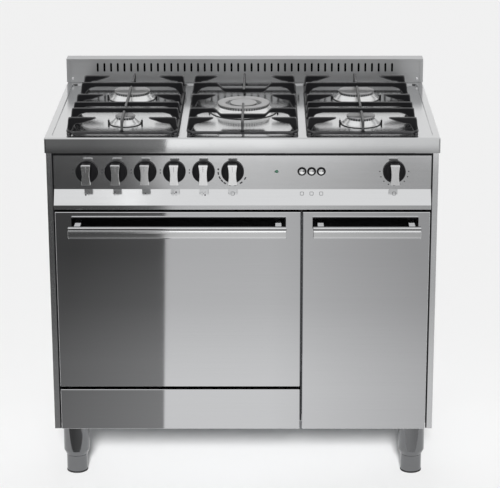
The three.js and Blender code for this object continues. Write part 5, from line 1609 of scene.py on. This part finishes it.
@dataclass
class Studio:
    """The camera, the light, the floor, and the glowing mat and card that paint reflections into the steel.
    """

    camera_place: tuple[float, float, float] = (0.0569, -4.673, 2.002)
    pitch: float = 17.26
    focal_pixels: float = 2006.0
    shift_right: float = 17.4
    shift_up: float = 10.9
    floor_grey: float = 0.877
    world_diffuse: float = 0.2
    sun_height: float = 27.5
    sun_spread: float = 10.0
    mat_near: float = -0.31
    mat_far: float = -9.0
    mat_half: float = 8.0
    mat_span: float = 4.0
    floor_reach: float = 60.0
    card_strength: float = 1.7
    bright_stops: tuple[Pair, ...] = (
        (-4.0, 1.45), (
            -3.44, 1.45
        ), (-3.36, 0.65), (-2.1, 0.65), (-1.6, 0.7), (-1.1, 0.86), (-0.9, 0.9), (0.0, 0.87)
    )
    dark_stops: tuple[Pair, ...] = (
        (-4.0, 0.24), (
            -3.44, 0.24
        ), (-3.36, 0.1), (-2.1, 0.083), (-1.6, 0.125), (-1.1, 0.21), (-0.7, 0.23), (0.0, 0.23)
    )
    soft_stops: tuple[Pair, ...] = (
        (-4.0, 0.006), (-3.35, 0.006), (-3.33, 0.15), (-2.8, 0.15), (-2.78, 0.006), (0.0, 0.006)
    )

    def build(self) -> None:
        """Sets up everything round the cooker."""
        self.camera()
        self.world()
        self.sun()
        self.floor()
        self.mat()
        self.card()
        bpy.context.scene.view_settings.view_transform = "Standard"

    def camera(self) -> None:
        """Makes the camera at the photograph's viewpoint."""
        data = bpy.data.cameras.new("photo_camera")
        data.sensor_width = 36.0
        data.lens = self.focal_pixels / PHOTO_WIDTH * data.sensor_width
        data.shift_x = -self.shift_right / PHOTO_WIDTH
        data.shift_y = -self.shift_up / PHOTO_WIDTH
        made = bpy.data.objects.new("photo_camera", data)
        made.location = self.camera_place
        made.rotation_euler = (math.radians(90 - self.pitch), 0, 0)
        bpy.context.scene.collection.objects.link(made)
        bpy.context.scene.camera = made

    def world(self) -> None:
        """Lights the scene evenly from all round, at full strength where it is seen or mirrored."""
        world = bpy.data.worlds.new("studio")
        bpy.context.scene.world = world
        world.use_nodes = True
        tree = world.node_tree
        path = tree.nodes.new("ShaderNodeLightPath")
        seen = path.outputs["Is Camera Ray"]
        for name in ("Is Glossy Ray", "Is Transmission Ray"):
            either = tree.nodes.new("ShaderNodeMath")
            either.operation = "MAXIMUM"
            tree.links.new(seen, either.inputs[0])
            tree.links.new(path.outputs[name], either.inputs[1])
            seen = either.outputs[0]
        strength = tree.nodes.new("ShaderNodeMapRange")
        strength.inputs["To Min"].default_value = self.world_diffuse
        tree.links.new(seen, strength.inputs["Value"])
        background = tree.nodes["Background"]
        background.inputs["Color"].default_value = (1.0, 1.0, 1.0, 1)
        tree.links.new(strength.outputs["Result"], background.inputs["Strength"])

    def sun(self) -> None:
        """Adds the soft light from the front, which fills the rest of the floor's light."""
        data = bpy.data.lights.new("front_light", "SUN")
        data.energy = math.pi * (1 - self.world_diffuse) / math.sin(math.radians(self.sun_height))
        data.angle = math.radians(self.sun_spread)
        made = bpy.data.objects.new("front_light", data)
        made.rotation_euler = (math.radians(90 - self.sun_height), 0, 0)
        made.visible_glossy = False
        bpy.context.scene.collection.objects.link(made)

    def floor(self) -> None:
        """Lays the pale floor."""
        shape = Shape()
        reach = self.floor_reach
        shape.prism(rectangle(-reach, reach, -reach, reach), -0.02, 0.0, Matrix.Identity(4))
        made = shape.object("studio_floor")
        graph = Graph("studio_floor")
        grey = (self.floor_grey, self.floor_grey, self.floor_grey, 1)
        shader = graph.node("ShaderNodeBsdfDiffuse", {"Color": grey, "Roughness": 0.0})
        graph.tree.links.new(shader.outputs[0], graph.output.inputs["Surface"])
        made.data.materials.append(graph.material)

    def mat(self) -> None:
        """Lays a glowing mat that only mirrors show: a painted reflection in the front, dark on its left part
        and shaded on its right part.
        """
        outline = rectangle(-self.mat_half, self.mat_half, self.mat_far, self.mat_near)
        # painted reflection: the mat glows and is seen only in mirrors
        made = Shape().prism(outline, 0.002, 0.004, Matrix.Identity(4)).object("painted_reflection_mat")
        graph = Graph("painted_reflection_mat")
        place = graph.node("ShaderNodeSeparateXYZ", {"Vector": graph.coordinates})
        x, y = place.outputs["X"], place.outputs["Y"]
        span = graph.level(y, 0.0, 1.0, -self.mat_span, 0.0)
        bright = self.stops(graph, span, self.bright_stops)
        dark = self.stops(graph, span, self.dark_stops)
        fade = graph.level(x, 1.0, 0.69, 0.06, 0.54)
        bright = graph.maths("MULTIPLY", bright, fade)
        edge = graph.maths("ADD", graph.maths("MULTIPLY", y, 0.0465), -0.175)
        offset = graph.maths("SUBTRACT", x, edge)
        dark = graph.maths("MULTIPLY", dark, graph.level(offset, 0.8, 1.3, -0.3, 0.0))
        soft = self.stops(graph, span, self.soft_stops)
        share = graph.maths("DIVIDE", graph.maths("ADD", offset, soft), soft)
        share = graph.level(share, 0.0, 1.0, 0.0, 1.0)
        mixed = graph.node("ShaderNodeMix", {0: share, 2: dark, 3: bright})
        self.mirrored_only(made, graph, mixed.outputs[0])

    def card(self) -> None:
        """Adds a glowing card that only mirrors show: a painted highlight in the slanted strip."""
        # painted highlight: the card glows and is seen only in mirrors
        made = Shape().block((-0.565, -3.07, 3.1), (-0.515, -3.06, 4.1)).object("painted_highlight_card")
        self.mirrored_only(made, Graph("painted_highlight_card"), self.card_strength)

    def mirrored_only(self, made: bpy.types.Object, graph: Graph, strength: object) -> None:
        """Makes an object glow where only mirrors show it.

        Args:
            made: the object.
            graph: its material.
            strength: how bright it is, as a value or a socket.
        """
        shader = graph.node("ShaderNodeEmission", {"Strength": strength})
        graph.tree.links.new(shader.outputs[0], graph.output.inputs["Surface"])
        made.data.materials.append(graph.material)
        made.visible_camera = False
        made.visible_diffuse = False
        made.visible_shadow = False

    def stops(self, graph: Graph, span: bpy.types.NodeSocket, values: Sequence[Pair]) -> bpy.types.NodeSocket:
        """A value that follows a list of stops across the mat.

        Args:
            graph: the mat's material.
            span: the place across the mat, 0 at 4 m in front and 1 at the middle.
            values: (Y in metres, value) stops, from the far edge to the near one.

        Returns:
            The socket with the value.
        """
        ramp = graph.node("ShaderNodeValToRGB", {"Fac": span})
        elements = ramp.color_ramp.elements
        while len(elements) < len(values):
            elements.new(0.5)
        for element, (depth, value) in zip(elements, values):
            element.position = 1 + depth / self.mat_span
        for element, (depth, value) in zip(elements, values):
            element.color = (value, value, value, 1)
        return graph.node("ShaderNodeSeparateColor", {"Color": ramp.outputs["Color"]}).outputs[0]


# ------------------------------------------------------------------ everything together


@dataclass
class RangeCooker:
    """All sub-assemblies of the cooker, in the order in which they are built."""

    parts: list = field(default_factory=list)

    def __post_init__(self) -> None:
        """Lists the sub-assemblies."""
        burners = ("front_left", "rear_left", "front_right", "rear_right")
        knobs = ("front_left", "rear_left", "wok", "rear_right", "front_right", "main_oven", "small_oven")
        self.parts = [Casing()]
        self.parts += [Burner(name) for name in burners] + [Burner("wok", wok=True)]
        self.parts += [Grate("grate_left"), Grate("grate_middle", wok=True), Grate("grate_right")]
        self.parts += [Knob(f"knob_{name}") for name in knobs] + [PanelTrim()]
        self.parts += [Oven("main_oven"), Oven("small_oven"), Door("main_door"), Door("small_door"), Drawer()]
        self.parts += [Leg(f"{depth}_{side}") for depth in ("front", "rear") for side in ("left", "right")]

    def build(self) -> None:
        """Builds every sub-assembly."""
        for part in self.parts:
            part.build()
            LOG.info("built %s", type(part).__name__)


def main() -> None:
    """Builds the studio and the cooker."""
    logging.basicConfig(level=logging.INFO, format="%(name)s: %(message)s")
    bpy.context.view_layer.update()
    Studio().build()
    RangeCooker().build()
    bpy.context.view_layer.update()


if __name__ == "__main__":
    main()
